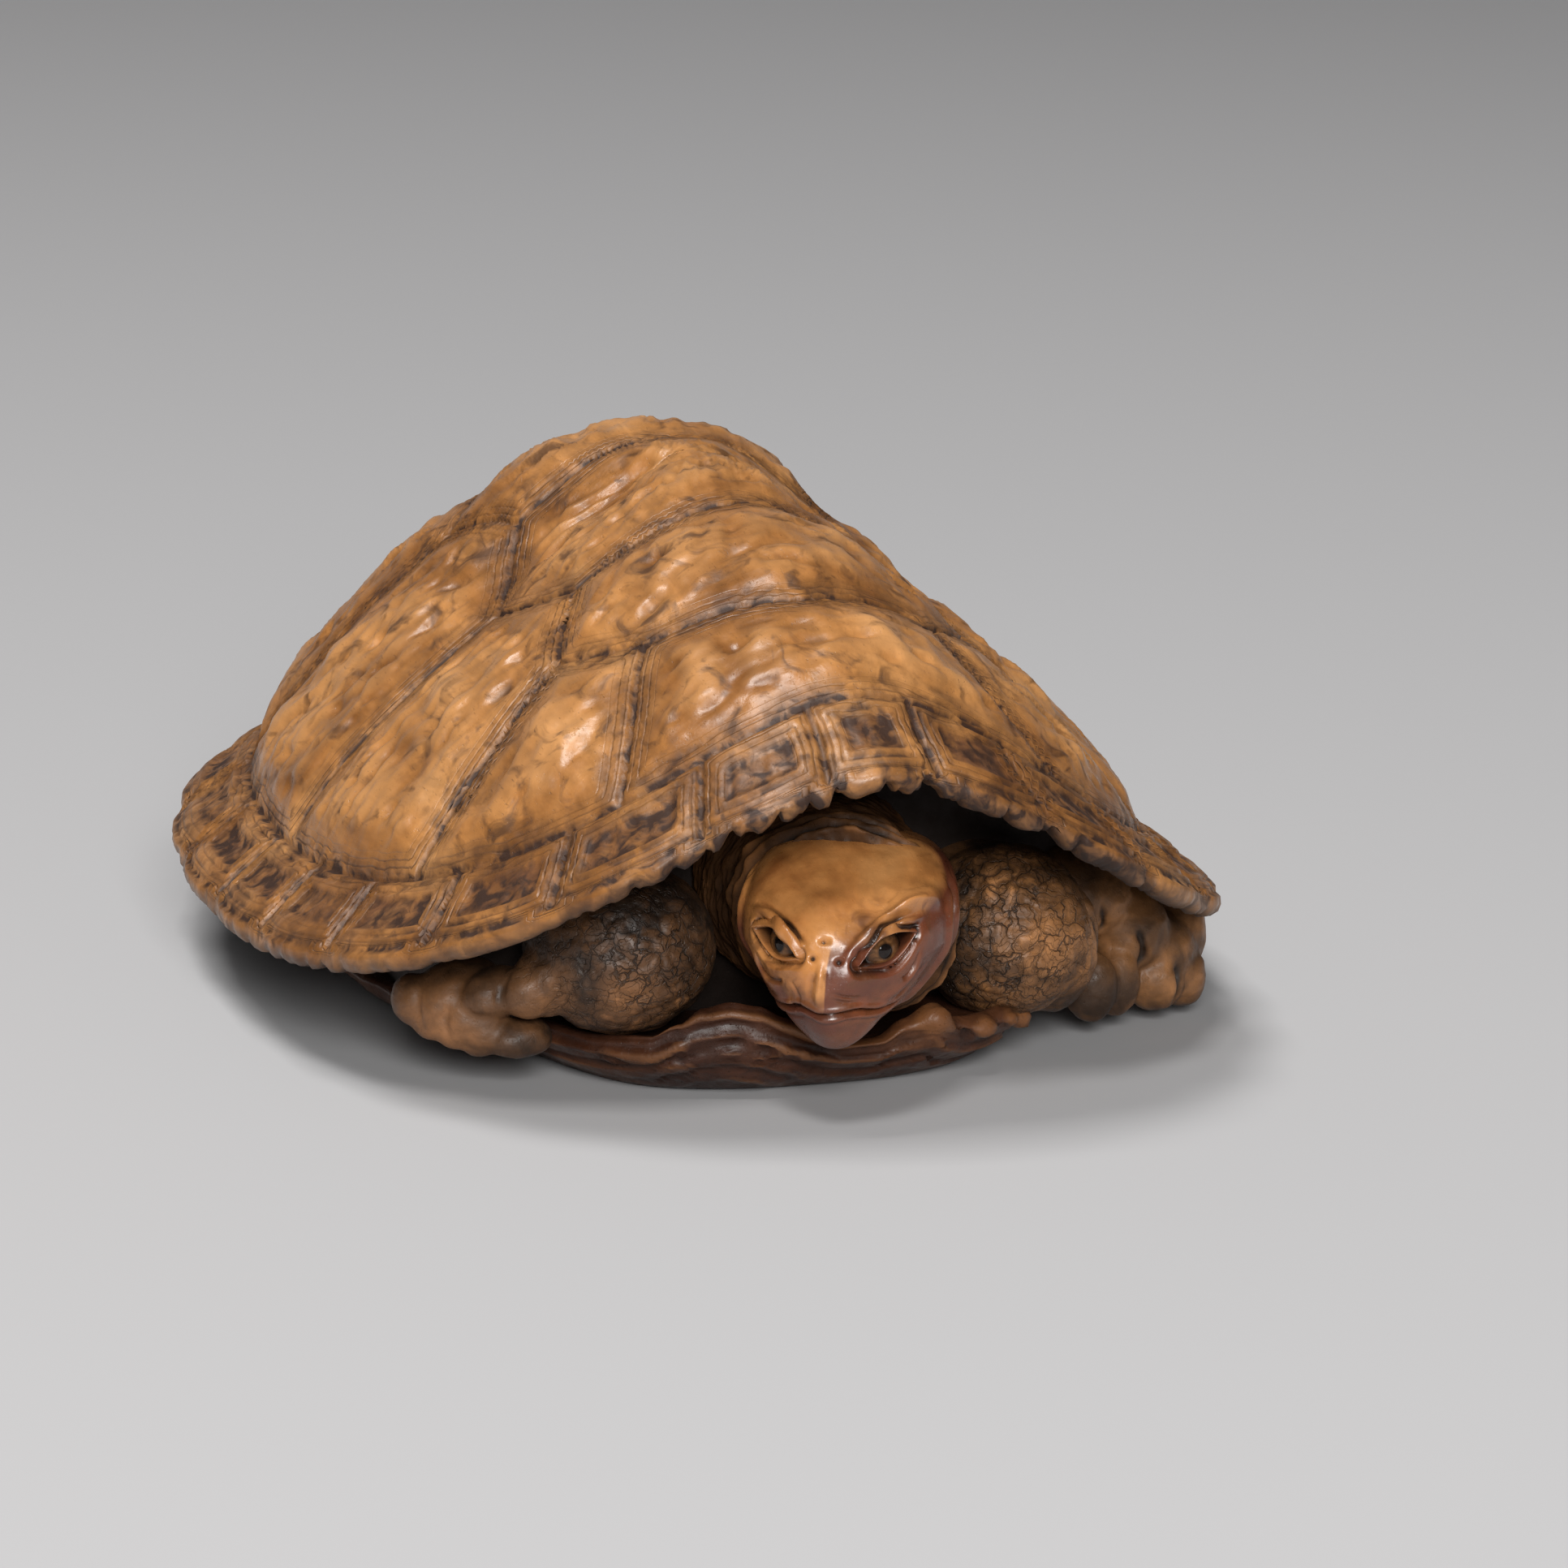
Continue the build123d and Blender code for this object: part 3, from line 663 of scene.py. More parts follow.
class Carver:
    """Strokes of a small gouge over a form: each adds or takes wood near a line."""

    def __init__(self, form):
        self.form = form
        self.form.verts.ensure_lookup_table()
        self.tree = kdtree.KDTree(len(form.verts))
        for vertex in form.verts:
            self.tree.insert(vertex.co, vertex.index)
        self.tree.balance()
        self.skin = BVHTree.FromBMesh(form)
        self.lift = [0.0] * len(form.verts)
        self.stain = [0.0] * len(form.verts)

    def nearest(self, spot):
        """The surface point closest to a place."""
        return self.skin.find_nearest(Vector(spot))[0]

    def stroke(self, places, width, height, ends=0.3, stain=1.0):
        """Adds height, or takes it where negative, along a line that fades at its ends."""
        line = smooth_line([self.nearest(place) for place in places])
        near = {}
        for number, spot in enumerate(line):
            share = number / max(len(line) - 1, 1)
            fade = 1
            if ends:
                fade = 0.15 + 0.85 * smooth_step(0, ends, share) * smooth_step(1, 1 - ends, share)
            for _, index, gap in self.tree.find_range(spot, width * 2.2):
                near[index] = max(near.get(index, 0), fade * bell(gap, width))
        for index, share in near.items():
            self.lift[index] += height * share
            self.stain[index] += height * share * stain

    def carve(self, layer):
        """Moves the surface by all strokes and keeps their stain as a value."""
        self.form.normal_update()
        moves = [vertex.normal * lift for vertex, lift in zip(self.form.verts, self.lift)]
        for vertex, move, stain in zip(self.form.verts, moves, self.stain):
            vertex.co += move
            vertex[layer] += stain


def smooth_line(spots, gap=0.07):
    """A curve through a few spots, as closely set points."""
    line = []
    for number in range(len(spots) - 1):
        first, last = spots[number], spots[number + 1]
        before, after = spots[max(number - 1, 0)], spots[min(number + 2, len(spots) - 1)]
        steps = max(int((last - first).length / gap), 1)
        for step in range(steps):
            share = step / steps
            square, cube = share ** 2, share ** 3
            spot = first * (2 * cube - 3 * square + 1)
            spot += (last - before) * 0.5 * (cube - 2 * square + share)
            spot += last * (3 * square - 2 * cube)
            spot += (after - first) * 0.5 * (cube - square)
            line.append(spot)
    return line + [spots[-1]]


plate_corners = [(x * plate_half_width, y * plate_half_length) for x, y in plate_outline]
plate_spots = [(math.atan2(x, -y), math.hypot(x, y)) for x, y in plate_corners]


def plate_reach(angle):
    """Plan distance from the middle to the plate's edge, at an angle from the head."""
    turned = abs(angle)
    for (low, first), (high, last) in zip(plate_spots, plate_spots[1:]):
        if turned <= high + 1e-6:
            share = (turned - low) / (high - low)
            return first + (last - first) * share
    return plate_spots[-1][1]


def round_reach(angle):
    """The plate's edge with the corners of its outline eased away."""
    spread = (-0.12, -0.06, 0, 0.06, 0.12)
    return sum(plate_reach(min(abs(angle + step), math.pi)) for step in spread) / len(spread)


plate_grid = 130
bm = bmesh.new()
bmesh.ops.create_grid(bm, x_segments=plate_grid, y_segments=plate_grid, size=1)
angles = bm.verts.layers.float.new("turned")
carve_layer = bm.verts.layers.float.new("carved")
for vertex in bm.verts:
    angle, share = drawn_round(vertex.co)
    reach = round_reach(angle) - face_inset
    vertex[angles] = angle
    vertex.co = Vector((reach * share * math.sin(angle), -reach * share * math.cos(angle), 0))
    gap = abs(vertex.co.x + 0.4 * noise.noise(vertex.co * 0.2))
    for seam in belly_seams:
        bend = 1.2 * math.cos(vertex.co.x / plate_half_width * 3) * (1 if seam < 0 else -1)
        gap = min(gap, abs(vertex.co.y - seam * plate_half_length + bend))
    rings = 0.04 * (1 + math.sin(gap * 6.0)) * smooth_step(0.5, 1.2, gap) * smooth_step(3.4, 1.5, gap)
    cut = 0.3 * bell(gap, 0.22) + rings
    worked = cut * smooth_step(1.0, 0.93, share)
    vertex[carve_layer] = -worked
    vertex.co.z = worked
# Up the edge and over the lip: inset, height and share of the lip's height
edge_turns = (
    (2.8, 0.12, 0), (1.8, 0.7, 0), (1.0, 1.3, 0), (0.45, 1.75, 0.05),
    (0.1, 2.1, 0.2), (0.0, 2.35, 0.5), (0.1, 2.5, 0.85), (0.4, 2.6, 1.0),
    (0.75, 2.6, 0.9), (1.05, 2.55, 0.5), (1.35, 2.5, 0.1), (2.2, 2.45, 0),
)
edge_steps = [
    tuple(flat + (tall - flat) * part / 3 for flat, tall in zip(first, last))
    for first, last in zip(edge_turns, edge_turns[1:]) for part in range(3)
]
edges = [edge for edge in bm.edges if edge.is_boundary]
for inset, height, lip in edge_steps:
    edges, verts = pushed_ring(bm, edges)
    for vertex in verts:
        angle = vertex[angles]
        reach = round_reach(angle)
        x_share = reach * math.sin(angle) / plate_half_width
        front = smooth_step(1.15, 0.75, abs(angle))
        tall = eased(lip_heights, x_share) * front
        below_crest = height + lip * tall - 0.8 * tall
        lean = 5.5 * below_crest + 5 * angle + 2.5 * noise.noise(Vector((angle * 3, height * 0.4, 2)))
        folds = 0.17 * math.sin(lean) + 0.09 * math.sin(lean * 2.3 + 1)
        folds *= (0.2 + 0.8 * front) * smooth_step(3.0, 1.5, inset)
        ruffle = 0.26 * noise.fractal(Vector((angle * 5, height * 0.5, 5)), 1.0, 2.0, 3)
        out = reach - inset + folds + ruffle * smooth_step(2.6, 1.0, inset)
        vertex.co = Vector((out * math.sin(angle), -out * math.cos(angle), height + lip * tall))
        vertex[carve_layer] = 0.8 * folds + ruffle - 0.25 * smooth_step(1.2, 2.4, inset) * (height > 2)
bmesh.ops.contextual_create(bm, geom=edges)
bmesh.ops.recalc_face_normals(bm, faces=bm.faces)
bm.normal_update()
knife = Carver(bm)
# Layered folds of the lip under the right cheek, and the drapery running down from them
for height in (4.1, 3.3, 2.6):
    fold = (
        (-6.2, -21.6, height - 0.2), (-4.2, -22.3, height),
        (-2.2, -22.4, height - 0.6), (0.6, -22.4, height - 1.5),
    )
    knife.stroke(fold, 0.20, 0.24)
    knife.stroke([(x, y, z - 0.38) for x, y, z in fold], 0.14, -0.26)
for drop in (0, 0.8):
    fold = (
        (-10.2, -18.6, 2.5 - drop), (-8.4, -20.0, 2.1 - drop),
        (-7.0, -21.0, 2.7 - drop), (-6.0, -21.6, 3.9 - drop),
    )
    knife.stroke(fold, 0.26, 0.28)
    knife.stroke([(x, y, z - 0.42) for x, y, z in fold], 0.18, -0.28)
# Knobs at the left end of the lip and the cuts between them
for place, width, height in (
    ((5.0, -22.3, 3.6), 0.8, 0.55), ((7.7, -21.0, 2.9), 0.6, 0.35),
    ((9.4, -20.0, 2.7), 0.45, 0.3), ((10.7, -19.0, 2.3), 0.6, 0.5),
):
    knife.stroke([place], width, height, 0)
knife.stroke(((6.3, -22.0, 3.4), (6.6, -22.0, 2.4), (7.2, -21.7, 1.5)), 0.22, -0.4, 0.2)
knife.stroke(((8.6, -20.8, 3.0), (8.9, -20.6, 2.2), (9.4, -20.2, 1.4)), 0.20, -0.35, 0.2)
knife.stroke(((3.2, -22.4, 2.6), (4.6, -22.4, 2.3), (6.2, -22.2, 2.5)), 0.16, -0.28)
knife.carve(carve_layer)
bmesh.ops.scale(bm, vec=(mm, mm, mm), verts=bm.verts)
belly_plate = finished_piece("belly_plate", bm)


belly_shadow = (0.025, 0.009, 0.005, 1)
belly_crest = (0.26, 0.105, 0.036, 1)


def belly_finish():
    """Red-brown stained boxwood, darker in its folds, a little duller than the shell."""
    bench = Bench("belly_boxwood")
    grain = bench.grain()
    wood = bench.ramp(
        grain.outputs["Tone"],
        (0.3, (0.032, 0.010, 0.005)), (0.55, (0.062, 0.021, 0.009)), (0.75, (0.115, 0.043, 0.016)),
    )
    streak = bench.spread(grain.outputs["Streaks"], 0.35, 0.65, 0.7, 1.1)
    wood = bench.mix(1.0, wood, streak, "MULTIPLY")
    carved = bench.value("carved")
    wood = bench.mix(bench.spread(carved, 0.0, -0.22, 0.0, 0.85), wood, belly_shadow)
    wood = bench.mix(bench.spread(carved, 0.08, 0.3, 0.0, 0.5), wood, belly_crest)
    rough = bench.patches(1800, 3, 0, 0.3, 0.7, 0.36, 0.56)
    bench.face.inputs["Specular IOR Level"].default_value = 0.32
    bench.face.inputs["Coat Weight"].default_value = 0.05
    bench.face.inputs["Coat Roughness"].default_value = 0.25
    return bench.finish(wood, rough, (grain.outputs["Relief"], 0.03), (bench.speckle(1600, 4, 0.4), 0.09))


belly_plate.data.materials.append(belly_finish())
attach(belly_plate, "root")
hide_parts("plastron")


# Head. It is carved clear of the shell and turned to the figure's own right:
# a flat polished crown, hooked beak and sunken eyes under brow ridges. The
# crown is waxed gold and the cheeks are stained mahogany; on the face the
# left side is also painted darker as shade and the right side gold as if lit.
head_turn = math.radians(28)
head_dip = math.radians(8)
head_base = Vector((1.8, -20.3, 8.8))
snout = Vector((
    -math.sin(head_turn) * math.cos(head_dip),
    -math.cos(head_turn) * math.cos(head_dip),
    -math.sin(head_dip),
))
left_cheek = Vector((math.cos(head_turn), -math.sin(head_turn), 0))
head_up = snout.cross(left_cheek)
# Stations from the nape to the beak: along, half width, crown and jaw
head_stations = (
    (-1.5, 3.9, 2.9, 2.9), (0.0, 4.45, 3.3, 3.6), (1.5, 4.7, 3.45, 4.1), (3.0, 4.65, 3.3, 4.4),
    (4.5, 4.4, 2.85, 4.4), (5.6, 4.0, 2.4, 4.3), (6.5, 3.45, 1.95, 4.15), (7.3, 2.85, 1.5, 3.85),
    (8.0, 2.1, 1.0, 3.1), (8.5, 1.4, 0.45, 2.4), (8.8, 0.8, -0.1, 1.95), (8.93, 0.35, -0.55, 1.5),
    (9.0, 0.04, -0.9, 1.02),
)
head_rounds = 300
head_rings = 230
eye_turn = math.radians(40)
eye_ahead = 6.9
eye_across = 2.15
eye_up = 0.6
lid_half_width = 1.42
lid_half_height = 0.54
lid_rise = {1: 0.80, -1: 0.32}


def flowing(table, at, column):
    """A smooth curve through the stations of a table, without steps between them."""
    last = len(table) - 1
    first = max(number for number in range(last) if table[number][0] <= at or number == 0)
    here, after = table[first], table[first + 1]
    before, beyond = table[max(first - 1, 0)], table[min(first + 2, last)]
    span = after[0] - here[0]
    share = min(max((at - here[0]) / span, 0), 1)
    leave = (after[column] - before[column]) / (after[0] - before[0]) * span
    arrive = (beyond[column] - here[column]) / (beyond[0] - here[0]) * span
    square, cube = share ** 2, share ** 3
    return (
        (2 * cube - 3 * square + 1) * here[column] + (cube - 2 * square + share) * leave
        + (3 * square - 2 * cube) * after[column] + (cube - square) * arrive
    )


def head_spot(turn, along):
    """A point of the head's plain form, in its own frame: across, along and up."""
    wide, crown, jaw = (flowing(head_stations, along, column) for column in (1, 2, 3))
    rise = math.cos(turn)
    side = math.sin(turn)
    middle = -0.5 * max(1.0 - crown, 0)
    if rise > 0:
        side = math.copysign(abs(side) ** 0.6, side)
        return Vector((wide * side, along, middle + (crown - middle) * rise ** 0.8))
    side = math.copysign(abs(side) ** 0.88, side)
    narrow = 1 - (0.46 - 0.24 * smooth_step(5.6, 7.4, along)) * (-rise) ** 1.15
    return Vector((wide * side * narrow, along, middle + (jaw + middle) * rise))


def eye_axes(side):
    """In the head's frame: the eye's middle, its gaze, the slant of its lids and up across them."""
    middle = Vector((side * eye_across, eye_ahead, eye_up))
    gaze = Vector((side * math.sin(eye_turn), math.cos(eye_turn), 0.15)).normalized()
    slant = Vector((side * 1.9, -1.6, lid_rise[side]))
    slant = (slant - gaze * slant.dot(gaze)).normalized()
    above = gaze.cross(slant) * side * -1
    return middle, gaze, slant, above


def lid_profile(gap, upper):
    """Height over the eye's seat, going out from the opening: lid, fold, then the face."""
    top = 0.62 if upper else 0.46
    edge = -0.55 + (0.26 + 0.55) * smooth_step(-0.10, 0.03, gap)
    edge += (top - 0.26) * smooth_step(0.0, 0.12, gap)
    return edge - (top - 0.12) * smooth_step(0.14, 0.34, gap)


bm = bmesh.new()
bmesh.ops.create_grid(bm, x_segments=head_rounds, y_segments=head_rings, size=1)
nape, beak_tip = head_stations[0][0], head_stations[-1][0]
for vertex in bm.verts:
    run = (vertex.co.y + 1) / 2
    along = nape + (beak_tip - nape) * math.sin(run * math.pi / 2)
    vertex.co = head_spot(vertex.co.x * math.pi, along)
bmesh.ops.remove_doubles(bm, verts=bm.verts, dist=0.0015)
bmesh.ops.holes_fill(bm, edges=[edge for edge in bm.edges if edge.is_boundary], sides=0)
bmesh.ops.recalc_face_normals(bm, faces=bm.faces)
bm.normal_update()

# The eye sockets and their lids
carve_layer = bm.verts.layers.float.new("carved")
for vertex in bm.verts:
    for side in (1, -1):
        middle, gaze, slant, above = eye_axes(side)
        from_eye = vertex.co - middle
        if from_eye.length > 3 or from_eye.dot(gaze) < -1:
            continue
        lid_middle = from_eye - above * 0.10 - slant * 0.05
        along_lid = lid_middle.dot(slant) / lid_half_width
        over_lid = lid_middle.dot(above)
        reach = lid_half_height * max(1 - abs(along_lid) ** 1.7, 0)
        gap = abs(over_lid) - reach
        if abs(along_lid) > 1:
            gap = math.hypot((abs(along_lid) - 1) * lid_half_width, over_lid)
        blend = 1 - smooth_step(0.30, 0.62, gap)
        height = from_eye.dot(gaze)
        vertex.co += gaze * (lid_profile(gap, over_lid > 0) - height) * blend
        fold = 0.8 * bell(gap - 0.36, 0.10) + smooth_step(0.02, -0.08, gap) + 0.5 * bell(gap - 0.02, 0.05)
        vertex[carve_layer] = min(vertex[carve_layer], -0.45 * fold)
bm.normal_update()
knife = Carver(bm)
# Brow over the left eye: a crisp ridge widening to a pad, a fold curled over the lid
left_ridge = (
    (0.9, 8.3, 0.8), (1.38, 7.9, 1.45), (1.97, 7.2, 2.05),
    (2.6, 6.4, 2.3), (3.4, 5.4, 2.4), (4.15, 4.4, 2.15),
)
left_pad = ((2.7, 6.1, 2.4), (3.5, 5.0, 2.45), (4.3, 3.8, 2.2))
left_crease = ((1.15, 8.2, 0.95), (1.7, 7.7, 1.6), (2.3, 7.0, 2.0), (2.95, 6.25, 2.08), (3.6, 5.7, 2.05))
left_fold = ((2.1, 7.3, 1.6), (2.6, 6.75, 1.82), (3.07, 6.3, 1.78), (3.5, 5.95, 1.78), (3.9, 5.5, 1.85))
left_slit = ((2.65, 6.65, 1.5), (3.2, 6.15, 1.45), (3.8, 5.75, 1.48))
# Brow over the right eye: a hooked band with a crisp upper edge
right_band = (
    (-4.0, 5.4, 1.7), (-2.95, 6.6, 2.0), (-2.15, 7.35, 1.85), (-1.5, 7.85, 1.4), (-1.05, 8.15, 0.95),
)
right_edge = ((-3.9, 5.4, 2.1), (-2.8, 6.6, 2.3), (-1.8, 7.6, 2.05), (-1.1, 8.1, 1.35), (-0.85, 8.3, 0.85))
right_fold = ((-4.0, 5.7, 1.1), (-3.5, 6.2, 1.42), (-2.95, 6.6, 1.52), (-2.3, 7.2, 1.50), (-1.6, 7.85, 1.15))
right_slit = ((-3.6, 6.1, 1.65), (-2.8, 6.8, 1.75), (-2.1, 7.4, 1.62), (-1.5, 7.9, 1.25))
# The creases, edges and slits carry more stain than their cuts alone. Their darkness is partly painted shade
# between the brows and the lids.
for line, width, height, stain in (
    (left_ridge, 0.19, 0.42, 1), (left_pad, 0.5, 0.40, 1), (left_crease, 0.11, -0.34, 1.8),
    (left_fold, 0.15, 0.26, 1), (left_slit, 0.08, -0.24, 2), (right_band, 0.20, 0.34, 1),
    (right_edge, 0.09, -0.24, 1.8), (right_fold, 0.12, 0.22, 1), (right_slit, 0.07, -0.18, 2),
):
    knife.stroke(line, width, height, stain=stain)
# Lower lids, the folds under them and over the cheeks
for side in (1, -1):
    fall = 0.25 if side < 0 else 0
    lid = (
        (1.15, 8.0, 0.15 + fall), (1.6, 7.5, -0.3), (2.2, 6.9, -0.42),
        (2.85, 6.4, -0.05), (3.3, 6.0, 0.75 - fall),
    )
    lid_fold = ((1.2, 7.9, -0.2 + fall), (1.9, 7.2, -0.75), (2.8, 6.4, -0.55), (3.45, 5.9, 0.35))
    cheek_swell = ((1.9, 7.4, -1.35), (2.8, 6.5, -0.95), (3.5, 5.8, -0.1))
    cheek_fold = ((2.0, 7.2, -1.7), (3.0, 6.2, -1.25), (3.8, 5.2, -0.3))
    for line, width, height, ends in (
        (lid, 0.11, 0.22, 0.15), (lid_fold, 0.09, -0.22, 0.25),
        (cheek_swell, 0.24, 0.14, 0.3), (cheek_fold, 0.12, -0.10, 0.3),
    ):
        knife.stroke([(side * x, y, z) for x, y, z in line], width, height, ends)
# Nostrils, a pit above them, and fine creases beside the nose and on the beak
for pit, width, depth in (
    ((-0.64, 8.4, 0.66), 0.13, -0.3), ((0.52, 8.45, 0.58), 0.12, -0.28), ((-0.26, 7.9, 1.3), 0.13, -0.30),
):
    knife.stroke([pit], width, depth, 0, 1.8)
for line, width, depth in (
    (((0.3, 8.9, -0.7), (0.9, 8.5, -0.95), (1.5, 8.0, -1.1)), 0.07, -0.14),
    (((0.35, 8.85, -1.0), (0.9, 8.45, -1.2), (1.45, 8.0, -1.25)), 0.07, -0.12),
    (((-0.55, 8.75, 0.1), (-0.6, 8.7, -0.5), (-0.7, 8.6, -1.1)), 0.14, -0.14),
    (((-1.3, 8.0, -0.5), (-1.15, 8.25, -1.0), (-1.0, 8.35, -1.4)), 0.09, -0.10),
):
    knife.stroke(line, width, depth)
# Nose ridge down to the beak, and the swell of the forehead
knife.stroke(((-0.2, 8.55, 0.55), (-0.2, 8.7, 0.2), (-0.24, 8.9, -0.6), (-0.26, 8.8, -1.5)), 0.20, 0.22)
knife.stroke(((-0.2, 7.3, 1.6), (-0.4, 6.4, 2.1)), 1.1, 0.22, 0)
# Mouth: one long cut from corner to corner, a lip over it, a band below and the chin
mouth = (
    (-3.5, 5.2, -1.5), (-2.6, 6.7, -1.95), (-1.8, 7.64, -1.94), (-1.05, 8.3, -1.62), (-0.25, 8.75, -1.78),
    (0.9, 8.35, -1.68), (1.84, 7.55, -1.86), (2.73, 6.44, -1.92), (3.4, 5.4, -1.5),
)
for lift, width, height, ends, stain in (
    (0, 0.10, -0.40, 0.08, 1.2), (0.26, 0.15, 0.16, 0.1, 1),
    (-0.28, 0.18, 0.14, 0.1, 1), (-0.55, 0.12, -0.10, 0.1, 1),
):
    knife.stroke([(x, y, z + lift) for x, y, z in mouth], width, height, ends, stain)
knife.stroke(((0.1, 8.0, -2.9), (0.2, 7.4, -3.5)), 0.9, 0.22, 0)
# Flange of folded skin behind the cheek on each side
for side in (1, -1):
    flange = ((4.6, 2.4, 2.2), (4.7, 3.6, 1.0), (4.5, 4.0, -0.6), (4.0, 4.3, -2.0), (2.9, 4.8, -3.4))
    for setback, width, height in (
        (0, 0.2, 0.28), (0.55, 0.22, -0.42), (1.1, 0.2, 0.24), (1.5, 0.16, -0.3),
    ):
        knife.stroke([(side * x, y - setback, z) for x, y, z in flange], width, height, 0.15)
knife.carve(carve_layer)
# The beak is rubbed smooth
beak = [vertex for vertex in bm.verts if vertex.co.y > 8.15]
for number in range(6):
    bmesh.ops.smooth_vert(bm, verts=beak, factor=0.5, use_axis_x=True, use_axis_y=True, use_axis_z=True)
bm.normal_update()
# Where the gold of the crown ends: it runs down the nose ridge and over the right of the face.
# Part of this is painted light: the slope across the face paints its left side darker as shade,
# and the right face is painted gold as if lit.
crown_and_lit_side_layer = bm.verts.layers.float.new("crown")
for vertex in bm.verts:
    vertex.co += vertex.normal * 0.035 * noise.fractal(vertex.co * 0.8, 1.0, 2.0, 2)
    nose = 2.2 * smooth_step(0.12, -0.05, vertex.co.x) * smooth_step(7.2, 8.2, vertex.co.y)
    lit_right_face = 1.3 * smooth_step(-0.2, -0.9, vertex.co.x) * smooth_step(6.0, 7.2, vertex.co.y)
    border = 1.7 * smooth_step(2.4, 0.4, vertex.co.y) + 1.2 * smooth_step(3.6, 4.6, abs(vertex.co.x))
    tilt = vertex.co.z - 0.1 * (vertex.co.y - 4) - 0.25 * vertex.co.x
    vertex[crown_and_lit_side_layer] = tilt - border + max(nose, lit_right_face)
head_frame = Matrix((left_cheek, snout, head_up)).transposed().to_4x4()
head_frame.translation = head_base
bmesh.ops.transform(bm, matrix=Matrix.Scale(mm, 4) @ head_frame, verts=bm.verts)
head_carving = finished_piece("head_carving", bm)


smudge_brown = (0.10, 0.035, 0.013, 1)
ridge_gold = (0.36, 0.14, 0.045, 1)
cut_black = (0.014, 0.006, 0.004, 1)


def head_finish():
    """Golden waxed crown over mahogany cheeks, dark in the lids and the mouth; the face is partly painted
    light, gold on its lit right and darker as shade on its left.
    """
    bench = Bench("head_boxwood")
    grain = bench.grain()
    tone = bench.sum("ADD", grain.outputs["Tone"], bench.patches(700, 4, 0, 0.3, 0.7, -0.1, 0.1))
    crown = bench.ramp(
        tone, (0.3, (0.29, 0.10, 0.026)), (0.48, (0.48, 0.195, 0.055)), (0.7, (0.62, 0.28, 0.09)),
    )
    cheek = bench.ramp(
        tone, (0.3, (0.07, 0.018, 0.009)), (0.6, (0.13, 0.036, 0.016)), (0.8, (0.20, 0.06, 0.02)),
    )
    streak = bench.spread(grain.outputs["Streaks"], 0.35, 0.65, 0.82, 1.06)
    height = bench.sum("ADD", bench.value("crown"), bench.patches(380, 3, 0, 0.3, 0.7, -0.5, 0.5))
    # Gold over mahogany by the crown value. This is partly the carving's two tones and partly painted light:
    # gold on the lit right of the face, mahogany as painted shade on its left.
    wood = bench.mix(bench.spread(height, 0.0, 1.3), cheek, crown)
    wood = bench.mix(1.0, wood, streak, "MULTIPLY")
    smudge = bench.patches(620, 5, 1.4, 0.50, 0.68, 0.0, 0.75)
    smudge = bench.sum("MULTIPLY", smudge, bench.spread(height, 2.6, 1.2))
    wood = bench.mix(smudge, wood, smudge_brown)
    carved = bench.value("carved")
    wood = bench.mix(bench.spread(carved, 0.16, 0.5, 0.0, 0.35), wood, ridge_gold)
    wood = bench.mix(bench.spread(carved, -0.05, -0.34, 0.0, 0.92), wood, cut_black)
    rough = bench.patches(2600, 3, 0, 0.3, 0.7, 0.24, 0.40)
    bench.face.inputs["Coat Weight"].default_value = 0.28
    bench.face.inputs["Coat Roughness"].default_value = 0.20
    return bench.finish(wood, rough, (grain.outputs["Relief"], 0.012), (bench.speckle(2400, 3), 0.02))


head_carving.data.materials.append(head_finish())
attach(head_carving, "root")
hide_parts("head")


# Eyes. Each iris is a small disc of brown horn, domed and polished, let into
# the socket and glued; each pupil is a drop of black horn let into the iris.
# They look forward and out, and the corners of the lids close over them.
iris_radius = 0.95
iris_depth = 0.48
iris_dome = 0.35
pupil_radius = 0.34
pupil_depth = 0.3
pupil_stand = 0.3
pupil_dome = 0.1


def eye_frame(side):
    """Where an eye sits: its own +Z looks out of the head."""
    gaze = snout * math.cos(eye_turn) + left_cheek * side * math.sin(eye_turn) + head_up * 0.15
    place = head_base + snout * eye_ahead + left_cheek * side * eye_across + head_up * eye_up
    return Matrix.Translation(place) @ gaze.to_track_quat("Z", "Y").to_matrix().to_4x4()


def turned_disc(name, side, radius, bottom, top, dome):
    """A domed disc turned about the eye's axis, its wall going down into the socket."""
    bm = bmesh.new()
    bmesh.ops.create_circle(bm, cap_ends=False, segments=64, radius=radius)
    start = list(bm.edges)
    for vertex in bm.verts:
        vertex.co.z = bottom
    edges, verts = pushed_ring(bm, start)
    for vertex in verts:
        vertex.co.z = top
    rings = 10
    for step in range(1, rings):
        edges, verts = pushed_ring(bm, edges)
        share = 1 - step / rings
        for vertex in verts:
            flat = Vector((vertex.co.x, vertex.co.y)).normalized() * radius * share
            vertex.co = Vector((flat.x, flat.y, top + dome * (1 - share ** 2)))
    bmesh.ops.contextual_create(bm, geom=edges)
    bmesh.ops.contextual_create(bm, geom=start)
    bmesh.ops.transform(bm, matrix=Matrix.Scale(mm, 4) @ eye_frame(side), verts=bm.verts)
    return finished_piece(name, bm)


